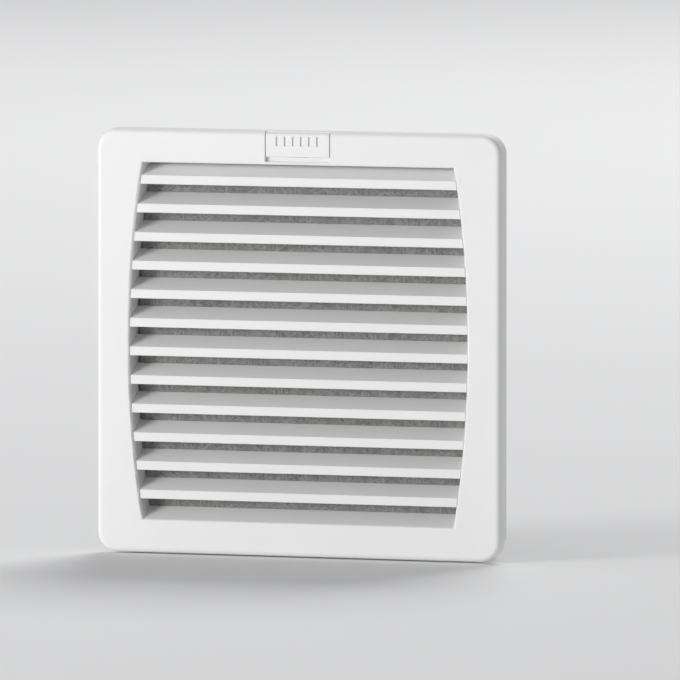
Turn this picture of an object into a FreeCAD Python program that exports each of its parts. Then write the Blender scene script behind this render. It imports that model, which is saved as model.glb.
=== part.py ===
import FreeCAD, Part
import math
import os
import re

import Sketcher
from FreeCAD import Placement, Rotation, Vector

# Enclosure filter fan, in millimetres.
# The origin is the centre of the panel cut-out on the panel's outer face.
# X runs to the right seen from the front, Y runs into the enclosure, Z runs up.

SIZES = {
    # front grille
    "face_size": 250,
    "face_corner": 12,
    "face_reach": 12,
    "face_edge": 3,
    "face_rear": 0.6,
    "skin": 2.2,
    "lower_rim_rear": 4,
    "lower_rim": 13,
    "opening_rim": 20,
    "opening_side": 20.5,
    "opening_bow": 8.5,
    "opening_lip": 1.4,
    "well_wall": 1.4,
    "collar_wall": 1.6,
    "collar_rear": 18,
    "collar_corner": 4,
    # louvre slats
    "slat_count": 13,
    "slat_inset": 12.7,
    "sill_drop": 5,
    "nose_height": 5.2,
    "nose_depth": 2,
    "nose_setback": 0.9,
    "slat_rise": 6.5,
    "slat_rear": 2,
    "slat_plate": 2,
    "nose_play": 0.05,
    # filter mat and its retainer
    "mat_play": 0.5,
    "mat_front": 2.3,
    "mat_rear": 15.8,
    "retainer_front": 15.9,
    "retainer_play": 0.2,
    "retainer_border": 6,
    "retainer_bar": 3,
    # grille hinge
    "hinge_depth": 6,
    "hinge_inset": 5.4,
    "hinge_side": 39,
    "hinge_lug_width": 9.4,
    "hinge_lug_radius": 2.75,
    "hinge_ear_width": 3,
    "hinge_ear_gap": 0.5,
    "hinge_bore_reach": 12,
    "hinge_lug_root": 5,
    "hinge_ear_radius": 3,
    "hinge_pin_radius": 1.25,
    "hinge_play": 0.05,
    # latch
    "latch_width": 39.2,
    "latch_height": 14.4,
    "latch_inset": 0.8,
    "latch_travel": 2.8,
    "latch_gap": 0.6,
    "latch_play": 0.1,
    "latch_edge": 1.8,
    "latch_neck_width": 11.2,
    "latch_neck_rise": 3.2,
    "latch_neck_height": 2.4,
    "latch_hook_rear": 3.3,
    "latch_hook_thick": 1.6,
    "latch_hook_height": 3.4,
    "latch_floor": 2.2,
    "grip_count": 6,
    "grip_step": 5,
    "grip_width": 1.8,
    "grip_depth": 0.8,
    "grip_height": 5.4,
    "grip_drop": 2.6,
    "keeper_gap": 0.3,
    "keeper_height": 2.3,
    "keeper_post": 3,
    "keeper_root": 4.5,
    "keeper_front": 7,
    "keeper_thick": 1.8,
    "keeper_width": 24,
    # mounting frame
    "flange_inset": 8,
    "flange_corner": 8,
    "flange_thick": 3,
    "tray_inset": 6.5,
    "tray_corner": 6,
    "tray_wall": 1.9,
    "tray_depth": 36,
    "rear_wall": 2,
    "seal_rim": 1,
    "seal_width": 3.5,
    "seal_depth": 1.6,
    "seal_play": 0.2,
    "seal_lift": 0.02,
    "seal_corner": 7,
    # panel clips
    "clip_height": 62,
    "clip_width": 18,
    "clip_play": 0.5,
    "clip_pivot_inset": 3.1,
    "clip_pivot_in": 25,
    "clip_hub": 2.8,
    "clip_tip": 4,
    "clip_tip_in": 2.3,
    "clip_pin_radius": 1.5,
    "clip_groove_play": 0.2,
    "clip_pin_play": 0.05,
    "clip_ear": 2.5,
    "clip_ear_margin": 1,
    "clip_heel": 1.4,
    "clip_heel_drop": 0.5,
    "clip_waist": 0.6,
    "clip_waist_drop": 7.5,
    "clip_barb": 4.3,
    "clip_barb_land": 1.6,
    "clip_back": 3.4,
    "clip_back_drop": 9,
    "window_front": 1.2,
    "window_rear": 29,
    "rib_count": 12,
    "rib_gap": 2,
    "rib_margin": 3,
    "rib_thick": 2,
    "rib_high": 5,
    "rib_low": 1.5,
    # inlet guard
    "guard_inset": 9.5,
    "guard_thick": 2.5,
    "guard_rings": 5,
    "guard_ring_step": 15,
    "guard_bar": 2.2,
    "guard_spokes": 8,
    # fan
    "fan_radius": 86,
    "fan_flat_cut": 11,
    "fan_length": 51,
    "fan_flange": 4,
    "fan_rim": 13,
    "fan_wall": 2,
    "fan_inlet_round": 3,
    "fan_hub": 38,
    "fan_hub_thick": 6,
    "strut_count": 4,
    "strut_width": 7,
    "strut_depth": 7,
    "tube_setback": 10,
    "front_bearing_setback": 12,
    "rear_bearing_setback": 36,
    "bearing_tube": 14,
    "bearing_seat": 11,
    "bearing_step": 9.5,
    "bearing_width": 7,
    "bearing_bore_play": 0.04,
    "shaft_radius": 4,
    "screw_inset": 5,
    "screw_radius": 2,
    "screw_hole": 2.2,
    "screw_head": 4,
    "screw_head_height": 2.6,
    "nut_flats": 7,
    "nut_height": 3.2,
    # motor and impeller
    "shaft_length": 39,
    "circlip_setback": 43.6,
    "circlip_thick": 1,
    "circlip_groove": 0.6,
    "circlip_reach": 2.5,
    "circlip_gap": 2,
    "cup_setback": 7,
    "cup_length": 33,
    "cup_radius": 42,
    "cup_wall": 2,
    "cage_wall": 4,
    "cage_overhang": 2,
    "air_gap": 0.6,
    "stator_setback": 16,
    "stator_length": 18,
    "stator_slots": 12,
    "stator_slot_width": 5,
    "stator_slot_inner": 20,
    "stator_slot_outer": 33,
    "winding_play": 0.3,
    "winding_edge": 0.5,
    "winding_overhang": 5.5,
    "hub_setback": 4.5,
    "hub_length": 36.5,
    "hub_wall": 2,
    "hub_hole": 8,
    "blade_count": 7,
    "blade_middle": 23,
    "blade_root": 39,
    "root_half_depth": 17,
    "root_half_spread": 13,
    "tip_half_depth": 12,
    "tip_half_spread": 27,
    "blade_camber": 2.6,
    "blade_overrun": 5,
    "tip_gap": 1.4,
    "blade_thick": 2.2,
    # rear finger guard
    "wire_radius": 1.1,
    "arm_radius": 1.25,
    "arm_lift": 0.2,
    "arm_count": 4,
    "arm_inner": 22,
    "weld": 0.4,
    "ring_count": 5,
    "ring_first": 25,
    "eyelet_radius": 4.6,
    # terminal block
    "terminal_side": 26.5,
    "terminal_base": 15.5,
    "terminal_width": 30,
    "terminal_height": 18,
    "terminal_depth": 18,
    "terminal_foot": 40,
    "terminal_foot_thick": 4,
    "pole_step": 9,
    "button_width": 4.8,
    "button_height": 3.8,
    "button_play": 0.2,
    "button_length": 8,
    "button_travel": 1.5,
    "wire_entry": 1.7,
    "wire_entry_depth": 12,
    "terminal_screw": 1.5,
    "terminal_screw_head": 2.3,
    "terminal_hole": 1.7,
    # fan connector
    "connector_gap": 0.3,
    "connector_width": 18,
    "connector_height": 6,
    "connector_setback": 18,
    "connector_length": 12,
    "tab_out": 4,
    "tab_width": 2.8,
    "tab_thick": 0.8,
    "tab_seat": 2,
    "tab_length": 12,
}

# Places that follow from the sizes above.
PLACES = {
    "opening_height": "face_size - 2*opening_rim",
    "opening_width": "face_size - 2*opening_side",
    "lower_rim_top": "face_size/2 - lower_rim",
    "collar_inner": "opening_height",
    "slat_top": "opening_height/2 - slat_inset",
    "slat_pitch": "(opening_height - slat_inset + sill_drop)/(slat_count - 1)",
    "mat_size": "collar_inner - 2*mat_play",
    "retainer_size": "collar_inner - 2*retainer_play",
    "hinge_drop": "face_size/2 - hinge_inset",
    "hinge_spread": "face_size/2 - hinge_side",
    "latch_high": "face_size/2 - latch_inset",
    "latch_low": "latch_high - latch_height",
    "flange_size": "face_size - 2*flange_inset",
    "keeper_low": "latch_low + latch_neck_rise + latch_hook_height + keeper_gap",
    "keeper_high": "keeper_low + keeper_height",
    "keeper_post_low": "flange_size/2 - keeper_root",
    "tray_size": "flange_size - 2*tray_inset",
    "seal_outer": "flange_size - 2*seal_rim",
    "seal_inner": "seal_outer - 2*seal_width",
    "clip_pivot_out": "tray_size/2 - clip_pivot_inset",
    "clip_tip_out": "tray_size/2 + clip_tip",
    "fan_flats": "2*(fan_radius - fan_flat_cut)",
    "fan_bore": "fan_radius - fan_rim",
    "screw_circle": "fan_radius - screw_inset",
    "blade_tip": "fan_bore - tip_gap",
    "guard_rim": "fan_radius - guard_inset",
    "ring_step": "(fan_bore - ring_first)/(ring_count - 1)",
    "terminal_across": "tray_size/2 - terminal_side",
    "terminal_drop": "tray_size/2 - terminal_base",
}

doc = FreeCAD.newDocument("filter_fan")
sheet = doc.addObject("Spreadsheet::Sheet", "Sizes")
for row, (alias, value) in enumerate(SIZES.items(), start=1):
    sheet.set(f"A{row}", str(value))
    sheet.setAlias(f"A{row}", alias)
doc.recompute()

# Short names for places that many pieces share.
FACE = "-face_reach"
SKIN_REAR = "(skin - face_reach)"
HALF_FACE = "face_size/2"
HALF_COLLAR = "(collar_inner/2 + collar_wall)"
HALF_OPENING = "opening_height/2"
CORNER_REACH = "(opening_width/2 - opening_bow)"
HINGE_Y = "-hinge_depth"
HINGE_Z = "-hinge_drop"
FLANGE_ROOT = "(-(flange_thick + seal_depth)/2)"
FAN_FRONT = "tray_depth"
FAN_REAR = "(tray_depth + fan_length)"
WALL_FRONT = "(tray_depth - rear_wall)"
SCREW_OUT = "(screw_circle/sqrt(2))"
CUP_FRONT = "(tray_depth + cup_setback)"
STATOR_FRONT = "(tray_depth + stator_setback)"
STATOR_REAR = "(tray_depth + stator_setback + stator_length)"
FRONT_BEARING = "(tray_depth + front_bearing_setback)"
REAR_BEARING = "(tray_depth + rear_bearing_setback)"
CIRCLIP = "(tray_depth + circlip_setback)"
TRAY_INNER = "(tray_size/2 - tray_wall)"
NECK_LOW = "(latch_low + latch_neck_rise)"
CORNERS = [(1, 1), (-1, 1), (-1, -1), (1, -1)]


def on_sheet(text):
    """Turn the names of sizes and places in an expression into references to the sheet."""
    return re.sub(r"[a-z_]+", lambda word: refer(word.group()), str(text))


def refer(word):
    """Give the sheet reference of a size, the expression of a place, or the word itself."""
    if word in PLACES:
        return f"({on_sheet(PLACES[word])})"
    return "Sizes." + word if word in SIZES else word


def size(text):
    """Give the number that an expression stands for."""
    return float(sheet.evalExpression(on_sheet(text)))


def circle(across, up, radius):
    """A round outline."""
    return {"circle": (across, up, radius)}


def outline(points, arcs=None):
    """A closed outline; arcs maps a segment's number to its radius, negative where it turns right."""
    return {"points": points, "arcs": arcs or {}}


def rectangle(left, right, low, high):
    """A rectangular outline."""
    return outline([(left, low), (right, low), (right, high), (left, high)])


def rounded(half, corner):
    """A square outline with round corners, centred on the origin."""
    side = f"({half})"
    flat = f"({half} - ({corner}))"
    points = [
        (flat, f"-{side}"),
        (side, f"-{flat}"),
        (side, flat),
        (flat, side),
        (f"-{flat}", side),
        (f"-{side}", flat),
        (f"-{side}", f"-{flat}"),
        (f"-{flat}", f"-{side}"),
    ]
    return outline(points, {0: corner, 2: corner, 4: corner, 6: corner})


def bowed(grow):
    """The louvre opening's outline with its bowed sides, widened by grow."""
    reach = f"({CORNER_REACH} + {grow})"
    rise = f"({HALF_OPENING} + {grow})"
    bow = f"(({rise}^2 + opening_bow^2)/(2*opening_bow))"
    points = [(f"-{reach}", f"-{rise}"), (reach, f"-{rise}"), (reach, rise), (f"-{reach}", rise)]
    return outline(points, {1: bow, 3: bow})


def hexagon(across, up, flats):
    """A nut's outline round a point."""
    points = []
    for corner in range(6):
        angle = math.radians(60 * corner)
        right = f"{across} + {flats}/sqrt(3)*{math.cos(angle):.6f}"
        high = f"{up} + {flats}/sqrt(3)*{math.sin(angle):.6f}"
        points.append((right, high))
    return outline(points)


def screw_places():
    """The four screw places of the fan as pairs."""
    return [(f"{right}*{SCREW_OUT}", f"{up}*{SCREW_OUT}") for right, up in CORNERS]


def screw_circles(radius):
    """A circle at each of the fan's four screw places."""
    return [circle(across, up, radius) for across, up in screw_places()]


def arc_between(start, end, radius):
    """An arc that turns left from start to end."""
    chord = end - start
    half = chord.Length / 2
    left = Vector(-chord.y, chord.x, 0).normalize()
    centre = (start + end) / 2 + left * math.sqrt(max(radius**2 - half**2, 0))
    first = math.atan2(start.y - centre.y, start.x - centre.x)
    last = math.atan2(end.y - centre.y, end.x - centre.x)
    if last < first:
        last += 2 * math.pi
    return Part.ArcOfCircle(Part.Circle(centre, Vector(0, 0, 1), radius), first, last)


class Piece:
    """One sub-part: a body whose features take their sizes from the sheet."""

    normals = {"XZ_Plane": -1, "XY_Plane": 1, "YZ_Plane": 1}

    def __init__(self, label):
        self.body = doc.addObject("PartDesign::Body", label)
        self.body.Label = label
        self.body.AllowCompound = True
        self.count = 0

    def origin(self, role):
        """Give the body's own plane or axis with this role."""
        return next(item for item in self.body.Origin.OriginFeatures if item.Role == role)

    def feature(self, kind):
        """Add a feature with a name of its own."""
        self.count += 1
        return self.body.newObject(kind, f"{self.body.Label}_{kind.split('::')[1].lower()}_{self.count}")

    def sketch(self, outlines, role, place):
        """Draw outlines on one of the body's planes, moved to a place along its axis."""
        drawing = self.feature("Sketcher::SketchObject")
        drawing.AttachmentSupport = [(self.origin(role), "")]
        drawing.MapMode = "FlatFace"
        drawing.setExpression("AttachmentOffset.Base.z", on_sheet(f"{self.normals[role]}*({place})"))
        for item in outlines:
            if "circle" in item:
                self.draw_circle(drawing, *item["circle"])
            else:
                self.draw_outline(drawing, item["points"], item["arcs"])
        return drawing

    def pin(self, drawing, kind, geometry, end, text):
        """Hold one coordinate or radius of a sketch at an expression."""
        if kind == "Radius":
            number = drawing.addConstraint(Sketcher.Constraint(kind, geometry, size(text)))
        else:
            number = drawing.addConstraint(Sketcher.Constraint(kind, -1, 1, geometry, end, size(text)))
        drawing.setExpression(f"Constraints[{number}]", on_sheet(text))

    def draw_circle(self, drawing, across, up, radius):
        """Draw a circle that the sheet holds."""
        centre = Vector(size(across), size(up), 0)
        shape = Part.Circle(centre, Vector(0, 0, 1), size(radius))
        number = drawing.addGeometry(shape, False)
        self.pin(drawing, "DistanceX", number, 3, across)
        self.pin(drawing, "DistanceY", number, 3, up)
        self.pin(drawing, "Radius", number, 0, radius)

    def draw_outline(self, drawing, points, arcs):
        """Draw a closed outline whose corners the sheet holds."""
        places = [Vector(size(across), size(up), 0) for across, up in points]
        numbers = []
        heads = []
        for index, start in enumerate(places):
            end = places[(index + 1) % len(places)]
            turns_right = index in arcs and str(arcs[index]).startswith("-")
            heads.append(2 if turns_right else 1)
            if turns_right:
                shape = arc_between(end, start, size(arcs[index][1:]))
            elif index in arcs:
                shape = arc_between(start, end, size(arcs[index]))
            else:
                shape = Part.LineSegment(start, end)
            numbers.append(drawing.addGeometry(shape, False))
        for index, number in enumerate(numbers):
            after = (index + 1) % len(numbers)
            joint = Sketcher.Constraint("Coincident", number, 3 - heads[index], numbers[after], heads[after])
            drawing.addConstraint(joint)
        for index, (across, up) in enumerate(points):
            self.pin(drawing, "DistanceX", numbers[index], heads[index], across)
            self.pin(drawing, "DistanceY", numbers[index], heads[index], up)
            if index in arcs:
                self.pin(drawing, "Radius", numbers[index], 0, str(arcs[index]).lstrip("-"))

    def pad(self, outlines, start, end, role="XZ_Plane"):
        """Add material between two places along the plane's axis."""
        place = end if role == "XZ_Plane" else start
        solid = self.feature("PartDesign::Pad")
        solid.Profile = self.sketch(outlines, role, place)
        solid.setExpression("Length", on_sheet(f"({end}) - ({start})"))
        self.body.Tip = solid
        return solid

    def pocket(self, outlines, start, end, role="XZ_Plane"):
        """Remove material between two places along the plane's axis."""
        place = start if role == "XZ_Plane" else end
        doc.recompute()
        cut = self.feature("PartDesign::Pocket")
        cut.Profile = self.sketch(outlines, role, place)
        cut.setExpression("Length", on_sheet(f"({end}) - ({start})"))
        self.body.Tip = cut
        return cut

    def turn(self, outlines, swing=0):
        """Revolve outlines of radius and depth round the Y axis, drawn on a plane at a swing angle."""
        solid = self.feature("PartDesign::Revolution")
        drawing = self.sketch(outlines, "XY_Plane", "0")
        drawing.AttachmentOffset = Placement(Vector(0, 0, 0), Rotation(Vector(0, 1, 0), swing))
        solid.Profile = drawing
        solid.ReferenceAxis = (self.origin("Y_Axis"), [""])
        solid.Angle = 360
        self.body.Tip = solid
        return solid

    def loft(self, sections, role):
        """Add a loft through sections, each a pair of outline and place."""
        solid = self.feature("PartDesign::AdditiveLoft")
        drawings = [self.sketch([item], role, place) for item, place in sections]
        solid.Profile = drawings[0]
        solid.Sections = drawings[1:]
        self.body.Tip = solid
        return solid

    def row(self, features, axis, step, count, backwards=False):
        """Repeat features along an axis."""
        pattern = self.feature("PartDesign::LinearPattern")
        pattern.Originals = features
        pattern.Direction = (self.origin(axis), [""])
        pattern.Reversed = backwards
        pattern.setExpression("Length", on_sheet(f"({step})*({count} - 1)"))
        pattern.setExpression("Occurrences", on_sheet(count))
        self.body.Tip = pattern
        return pattern

    def ring(self, features, count):
        """Repeat features round the Y axis."""
        pattern = self.feature("PartDesign::PolarPattern")
        pattern.Originals = features
        pattern.Axis = (self.origin("Y_Axis"), [""])
        pattern.Angle = 360
        pattern.setExpression("Occurrences", on_sheet(count))
        self.body.Tip = pattern
        return pattern

    def round_edges(self, radius, chosen):
        """Round the edges for which chosen is true."""
        doc.recompute()
        base = self.body.Tip
        names = [f"Edge{n}" for n, edge in enumerate(base.Shape.Edges, start=1) if chosen(edge)]
        fillet = self.feature("PartDesign::Fillet")
        fillet.Base = (base, names)
        fillet.setExpression("Radius", on_sheet(radius))
        self.body.Tip = fillet
        return fillet


def near(value, text):
    """True where a length agrees with an expression."""
    return abs(value - size(text)) < 0.01


def edge_on(edge, depth):
    """True where an edge lies flat at a depth."""
    return near(edge.BoundBox.YMin, depth) and near(edge.BoundBox.YMax, depth)


# Front grille


def front_grille():
    """The cover's moulded rim with its skirt, hinge ears and latch recess."""
    grille = Piece("front_grille")
    grille.pad([rounded(HALF_FACE, "face_corner")], FACE, "-face_rear")
    grille.round_edges("face_edge", lambda edge: edge_on(edge, FACE))
    grille.pocket([rounded(f"{HALF_FACE} - skin", "face_corner - skin")], SKIN_REAR, "-face_rear")
    grille.pocket([bowed("0")], FACE, SKIN_REAR)
    grille.round_edges("opening_lip", opening_edge)
    lower = rectangle(f"-{HALF_FACE}", HALF_FACE, f"-{HALF_FACE}", "-lower_rim_top")
    grille.pocket([lower], "-lower_rim_rear", "0")
    add_latch_recess(grille)
    add_hinge_ears(grille)
    return grille


def louvre_slats():
    """The louvre behind the opening: slats across a well with bowed sides."""
    louvre = Piece("louvre_slats")
    slat = louvre.pad([slat_outline()], f"-{HALF_FACE}", HALF_FACE, "YZ_Plane")
    louvre.row([slat], "Z_Axis", "slat_pitch", "slat_count", backwards=True)
    beyond = rectangle("-face_size", "face_size", "-face_size", "face_size")
    louvre.pocket([beyond, bowed("-nose_play")], FACE, SKIN_REAR)
    louvre.pocket([beyond, bowed("well_wall/2")], SKIN_REAR, "slat_rear")
    louvre.pad([bowed("well_wall"), bowed("0")], SKIN_REAR, "slat_rear")
    return louvre


def mat_collar():
    """The square collar behind the louvre that the mat lies in."""
    collar = Piece("mat_collar")
    walls = [rounded(HALF_COLLAR, "collar_corner"), rounded("collar_inner/2", "collar_corner - 1")]
    collar.pad(walls, "slat_rear", "collar_rear")
    return collar


def opening_edge(edge):
    """True for the front edges of the louvre opening."""
    box = edge.BoundBox
    reach = max(abs(box.XMin), abs(box.XMax), abs(box.ZMin), abs(box.ZMax))
    return edge_on(edge, FACE) and reach < size(f"{HALF_FACE} - face_corner")


def slat_outline():
    """One slat: an upright nose and a plate that rises behind it."""
    front = "(nose_setback - face_reach)"
    inner = f"({front} + nose_depth)"
    slope = f"(slat_rise/(slat_rear - {front}))"
    top = "(slat_top + nose_height)"
    return outline([
        (front, "slat_top"),
        (inner, "slat_top"),
        (inner, f"{top} + nose_depth*{slope} - slat_plate"),
        ("slat_rear", f"{top} + slat_rise - slat_plate"),
        ("slat_rear", f"{top} + slat_rise"),
        (front, top),
    ])


def add_latch_recess(grille):
    """Open the face for the latch and put a slotted floor behind it."""
    half = "(latch_width/2 + latch_gap)"
    low = "(latch_low - latch_travel - 2*latch_play)"
    rear = f"({SKIN_REAR} + latch_floor)"
    grille.pocket([rectangle(f"-{half}", half, low, HALF_FACE)], FACE, SKIN_REAR)
    floor_low = f"({HALF_OPENING} + well_wall + latch_play)"
    floor = rectangle(f"-{half} - skin", f"{half} + skin", floor_low, f"{HALF_FACE} - skin/2")
    grille.pad([floor], SKIN_REAR, rear)
    neck = "(latch_neck_width/2 + latch_gap)"
    slot_low = f"({NECK_LOW} - latch_travel - latch_gap)"
    slot = rectangle(f"-{neck}", neck, slot_low, f"{NECK_LOW} + latch_neck_height + latch_gap")
    grille.pocket([slot], SKIN_REAR, rear)


def add_hinge_ears(grille):
    """Put two bored ears on each side of the hinge lugs."""
    root = f"(-{HALF_FACE} + skin/2)"
    front = f"({SKIN_REAR} - skin/2)"
    top = f"({HINGE_Z} + hinge_ear_radius)"
    ear = outline([
        (front, root),
        ("-lower_rim_rear", root),
        (f"{HINGE_Y} + hinge_ear_radius", HINGE_Z),
        (HINGE_Y, top),
        (front, top),
    ], {2: "hinge_ear_radius"})
    near_side = "(hinge_lug_width/2 + hinge_ear_gap)"
    far_side = f"({near_side} + hinge_ear_width)"
    for side in (-1, 1):
        middle = f"{side}*hinge_spread"
        grille.pad([ear], f"{middle} - {far_side}", f"{middle} - {near_side}", "YZ_Plane")
        grille.pad([ear], f"{middle} + {near_side}", f"{middle} + {far_side}", "YZ_Plane")
    bore_through_hinge(grille, "hinge_pin_radius")


def bore_through_hinge(piece, radius):
    """Bore both sides of a piece along the hinge axis."""
    reach = "(hinge_spread + hinge_bore_reach)"
    piece.pocket([circle(HINGE_Y, HINGE_Z, radius)], f"-{reach}", reach, "YZ_Plane")


def filter_mat():
    """The filter fleece behind the slats."""
    mat = Piece("filter_mat")
    mat.pad([rounded("mat_size/2", "collar_corner - 1")], "mat_front", "mat_rear")
    return mat


def mat_retainer():
    """The grid that holds the mat in the collar."""
    grid = Piece("mat_retainer")
    inner = "(retainer_size/2 - retainer_border)"
    border = [rounded("retainer_size/2", "collar_corner - 1"), rounded(inner, "collar_corner - 1")]
    grid.pad(border, "retainer_front", "collar_rear")
    reach = f"({inner} + retainer_bar/2)"
    for place in (-1, 0, 1):
        low = f"({place}*retainer_size/4 - retainer_bar/2)"
        high = f"({place}*retainer_size/4 + retainer_bar/2)"
        grid.pad([rectangle(low, high, f"-{reach}", reach)], "retainer_front", "collar_rear")
        grid.pad([rectangle(f"-{reach}", reach, low, high)], "retainer_front", "collar_rear")
    return grid


def hinge_pins():
    """The two steel hinge pins, fixed in the grille's ears."""
    pins = Piece("hinge_pins")
    reach = "(hinge_lug_width/2 + hinge_ear_gap + hinge_ear_width)"
    for side in (-1, 1):
        middle = f"{side}*hinge_spread"
        pin = circle(HINGE_Y, HINGE_Z, "hinge_pin_radius")
        pins.pad([pin], f"{middle} - {reach}", f"{middle} + {reach}", "YZ_Plane")
    return pins


def latch_slider():
    """The sliding latch with its grip grooves, neck and hook."""
    latch = Piece("latch_slider")
    half = "latch_width/2"
    rear = f"({SKIN_REAR} - latch_play)"
    latch.pad([rectangle(f"-{half}", half, "latch_low", "latch_high")], FACE, rear)
    latch.round_edges("latch_edge", upper_edge)
    first = "(-grip_step*(grip_count - 1)/2)"
    top = "(latch_high - grip_drop)"
    groove = rectangle(f"{first} - grip_width/2", f"{first} + grip_width/2", f"{top} - grip_height", top)
    cut = latch.pocket([groove], FACE, f"{FACE} + grip_depth")
    latch.row([cut], "X_Axis", "grip_step", "grip_count")
    wide = "latch_neck_width/2"
    neck = rectangle(f"-{wide}", wide, NECK_LOW, f"{NECK_LOW} + latch_neck_height")
    latch.pad([neck], f"{rear} - skin/2", "-latch_hook_rear")
    hook = rectangle(f"-{wide}", wide, NECK_LOW, f"{NECK_LOW} + latch_hook_height")
    latch.pad([hook], "-latch_hook_rear - latch_hook_thick", "-latch_hook_rear")
    return latch


def upper_edge(edge):
    """True for the latch plate's upper front edge."""
    return edge_on(edge, FACE) and near(edge.BoundBox.ZMin, "latch_high")


# Mounting frame and tray


def mounting_frame():
    """The flange that lies on the panel, with the hinge lugs, the keeper and the seal's groove."""
    frame = Piece("mounting_frame")
    ring = [rounded("flange_size/2", "flange_corner"), rounded("tray_size/2", "tray_corner")]
    frame.pad(ring, "-flange_thick", "0")
    groove = [rounded("seal_outer/2", "seal_corner"), rounded("seal_inner/2", "seal_corner - 1")]
    frame.pocket(groove, "-seal_depth", "0")
    add_hinge_lugs(frame)
    add_keeper(frame)
    return frame


def fan_tray():
    """The tray behind the flange, with the clip windows and the fan's inlet."""
    tray = Piece("fan_tray")
    tray.pad([rounded("tray_size/2", "tray_corner")], "-flange_thick", "tray_depth")
    tray.pocket([rounded(TRAY_INNER, "tray_corner - tray_wall")], "-flange_thick", WALL_FRONT)
    tray.pocket([circle("0", "0", "fan_bore")], WALL_FRONT, "tray_depth")
    cut_clip_windows(tray)
    tray.pocket(screw_circles("screw_hole"), WALL_FRONT, "tray_depth")
    feet = [circle(place, "-terminal_drop", "terminal_screw") for place in foot_places()]
    tray.pocket(feet, WALL_FRONT, "tray_depth")
    return tray


def foot_places():
    """The places of the terminal block's two fixing screws along X."""
    reach = "(terminal_foot/2 - (terminal_foot - terminal_width)/4)"
    return [f"terminal_across - {reach}", f"terminal_across + {reach}"]


def add_hinge_lugs(frame):
    """Put the two bored lugs on the flange's lower front."""
    web = "(-flange_size/2 + seal_play)"
    top = "(-flange_size/2 + hinge_lug_root)"
    radius = "hinge_lug_radius"
    lug = outline([
        (f"{HINGE_Y} - {radius}", HINGE_Z),
        (HINGE_Y, f"{HINGE_Z} - {radius}"),
        (f"{HINGE_Y} + {radius}", HINGE_Z),
        (f"{HINGE_Y} + {radius}", web),
        (FLANGE_ROOT, web),
        (FLANGE_ROOT, top),
        (f"{HINGE_Y} - {radius}", top),
    ], {0: radius, 1: radius})
    for side in (-1, 1):
        middle = f"{side}*hinge_spread"
        frame.pad([lug], f"{middle} - hinge_lug_width/2", f"{middle} + hinge_lug_width/2", "YZ_Plane")
    bore_through_hinge(frame, "hinge_pin_radius + hinge_play")


def add_keeper(frame):
    """Put the latch keeper's crossbar on two posts."""
    half = "keeper_width/2"
    inner = "(keeper_width/2 - keeper_post)"
    rear = "(keeper_thick - keeper_front)"
    frame.pad([rectangle(f"-{half}", half, "keeper_low", "keeper_high")], "-keeper_front", rear)
    posts = [rectangle(f"-{half}", f"-{inner}", "keeper_post_low", "keeper_high"),
             rectangle(inner, half, "keeper_post_low", "keeper_high")]
    frame.pad(posts, "-keeper_front", FLANGE_ROOT)


def tray_ribs():
    """The ribs that stiffen the tray's rear wall round the fan, each lower towards the wall's edge."""
    ribs = Piece("tray_ribs")
    inner = "(fan_radius + rib_gap)"
    outer = "(tray_size/2 - rib_margin)"
    profile = outline([
        (inner, "tray_depth"),
        (outer, "tray_depth"),
        (outer, "tray_depth + rib_low"),
        (inner, "tray_depth + rib_high"),
    ])
    rib = ribs.pad([profile], "-rib_thick/2", "rib_thick/2", "XY_Plane")
    ribs.ring([rib], "rib_count")
    return ribs


def cut_clip_windows(tray):
    """Cut the four windows that the clips swing through, and grooves that clear their pins."""
    half = "(clip_width/2 + clip_play)"
    reach = f"({half} + clip_ear + clip_play)"
    windows = []
    for side in (-1, 1):
        middle = f"{side}*clip_height"
        windows.append(rectangle("window_front", "window_rear", f"{middle} - {half}", f"{middle} + {half}"))
        grooves = clip_pivots("clip_pin_radius + clip_groove_play")
        tray.pocket(grooves, f"{middle} - {reach}", f"{middle} + {reach}", "XY_Plane")
    tray.pocket(windows, "-tray_size", "tray_size", "YZ_Plane")


def clip_seats():
    """The bored ears beside each clip window, on the tray's side and rear walls."""
    seats = Piece("clip_seats")
    inner = "(clip_pivot_out - clip_hub - clip_ear_margin)"
    front = "(clip_pivot_in - clip_hub - clip_ear_margin)"
    ears = [rectangle(inner, TRAY_INNER, front, WALL_FRONT),
            rectangle(f"-{TRAY_INNER}", f"-{inner}", front, WALL_FRONT)]
    near_side = "(clip_width/2 + clip_play)"
    far_side = f"({near_side} + clip_ear)"
    for side in (-1, 1):
        middle = f"{side}*clip_height"
        seats.pad(ears, f"{middle} - {far_side}", f"{middle} - {near_side}", "XY_Plane")
        seats.pad(ears, f"{middle} + {near_side}", f"{middle} + {far_side}", "XY_Plane")
    reach = "(clip_height + clip_width)"
    seats.pocket(clip_pivots("clip_pin_radius"), f"-{reach}", reach, "XY_Plane")
    return seats


def clip_pivots(radius):
    """A circle at the clips' pivot on each side."""
    return [circle(f"{side}*clip_pivot_out", "clip_pivot_in", radius) for side in (-1, 1)]


def flange_seal():
    """The foam seal in the flange's rear groove."""
    seal = Piece("flange_seal")
    band = [rounded("seal_outer/2 - seal_play", "seal_corner - seal_play"),
            rounded("seal_inner/2 + seal_play", "seal_corner - 1 + seal_play")]
    seal.pad(band, "seal_lift - seal_depth", "0")
    return seal


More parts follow.
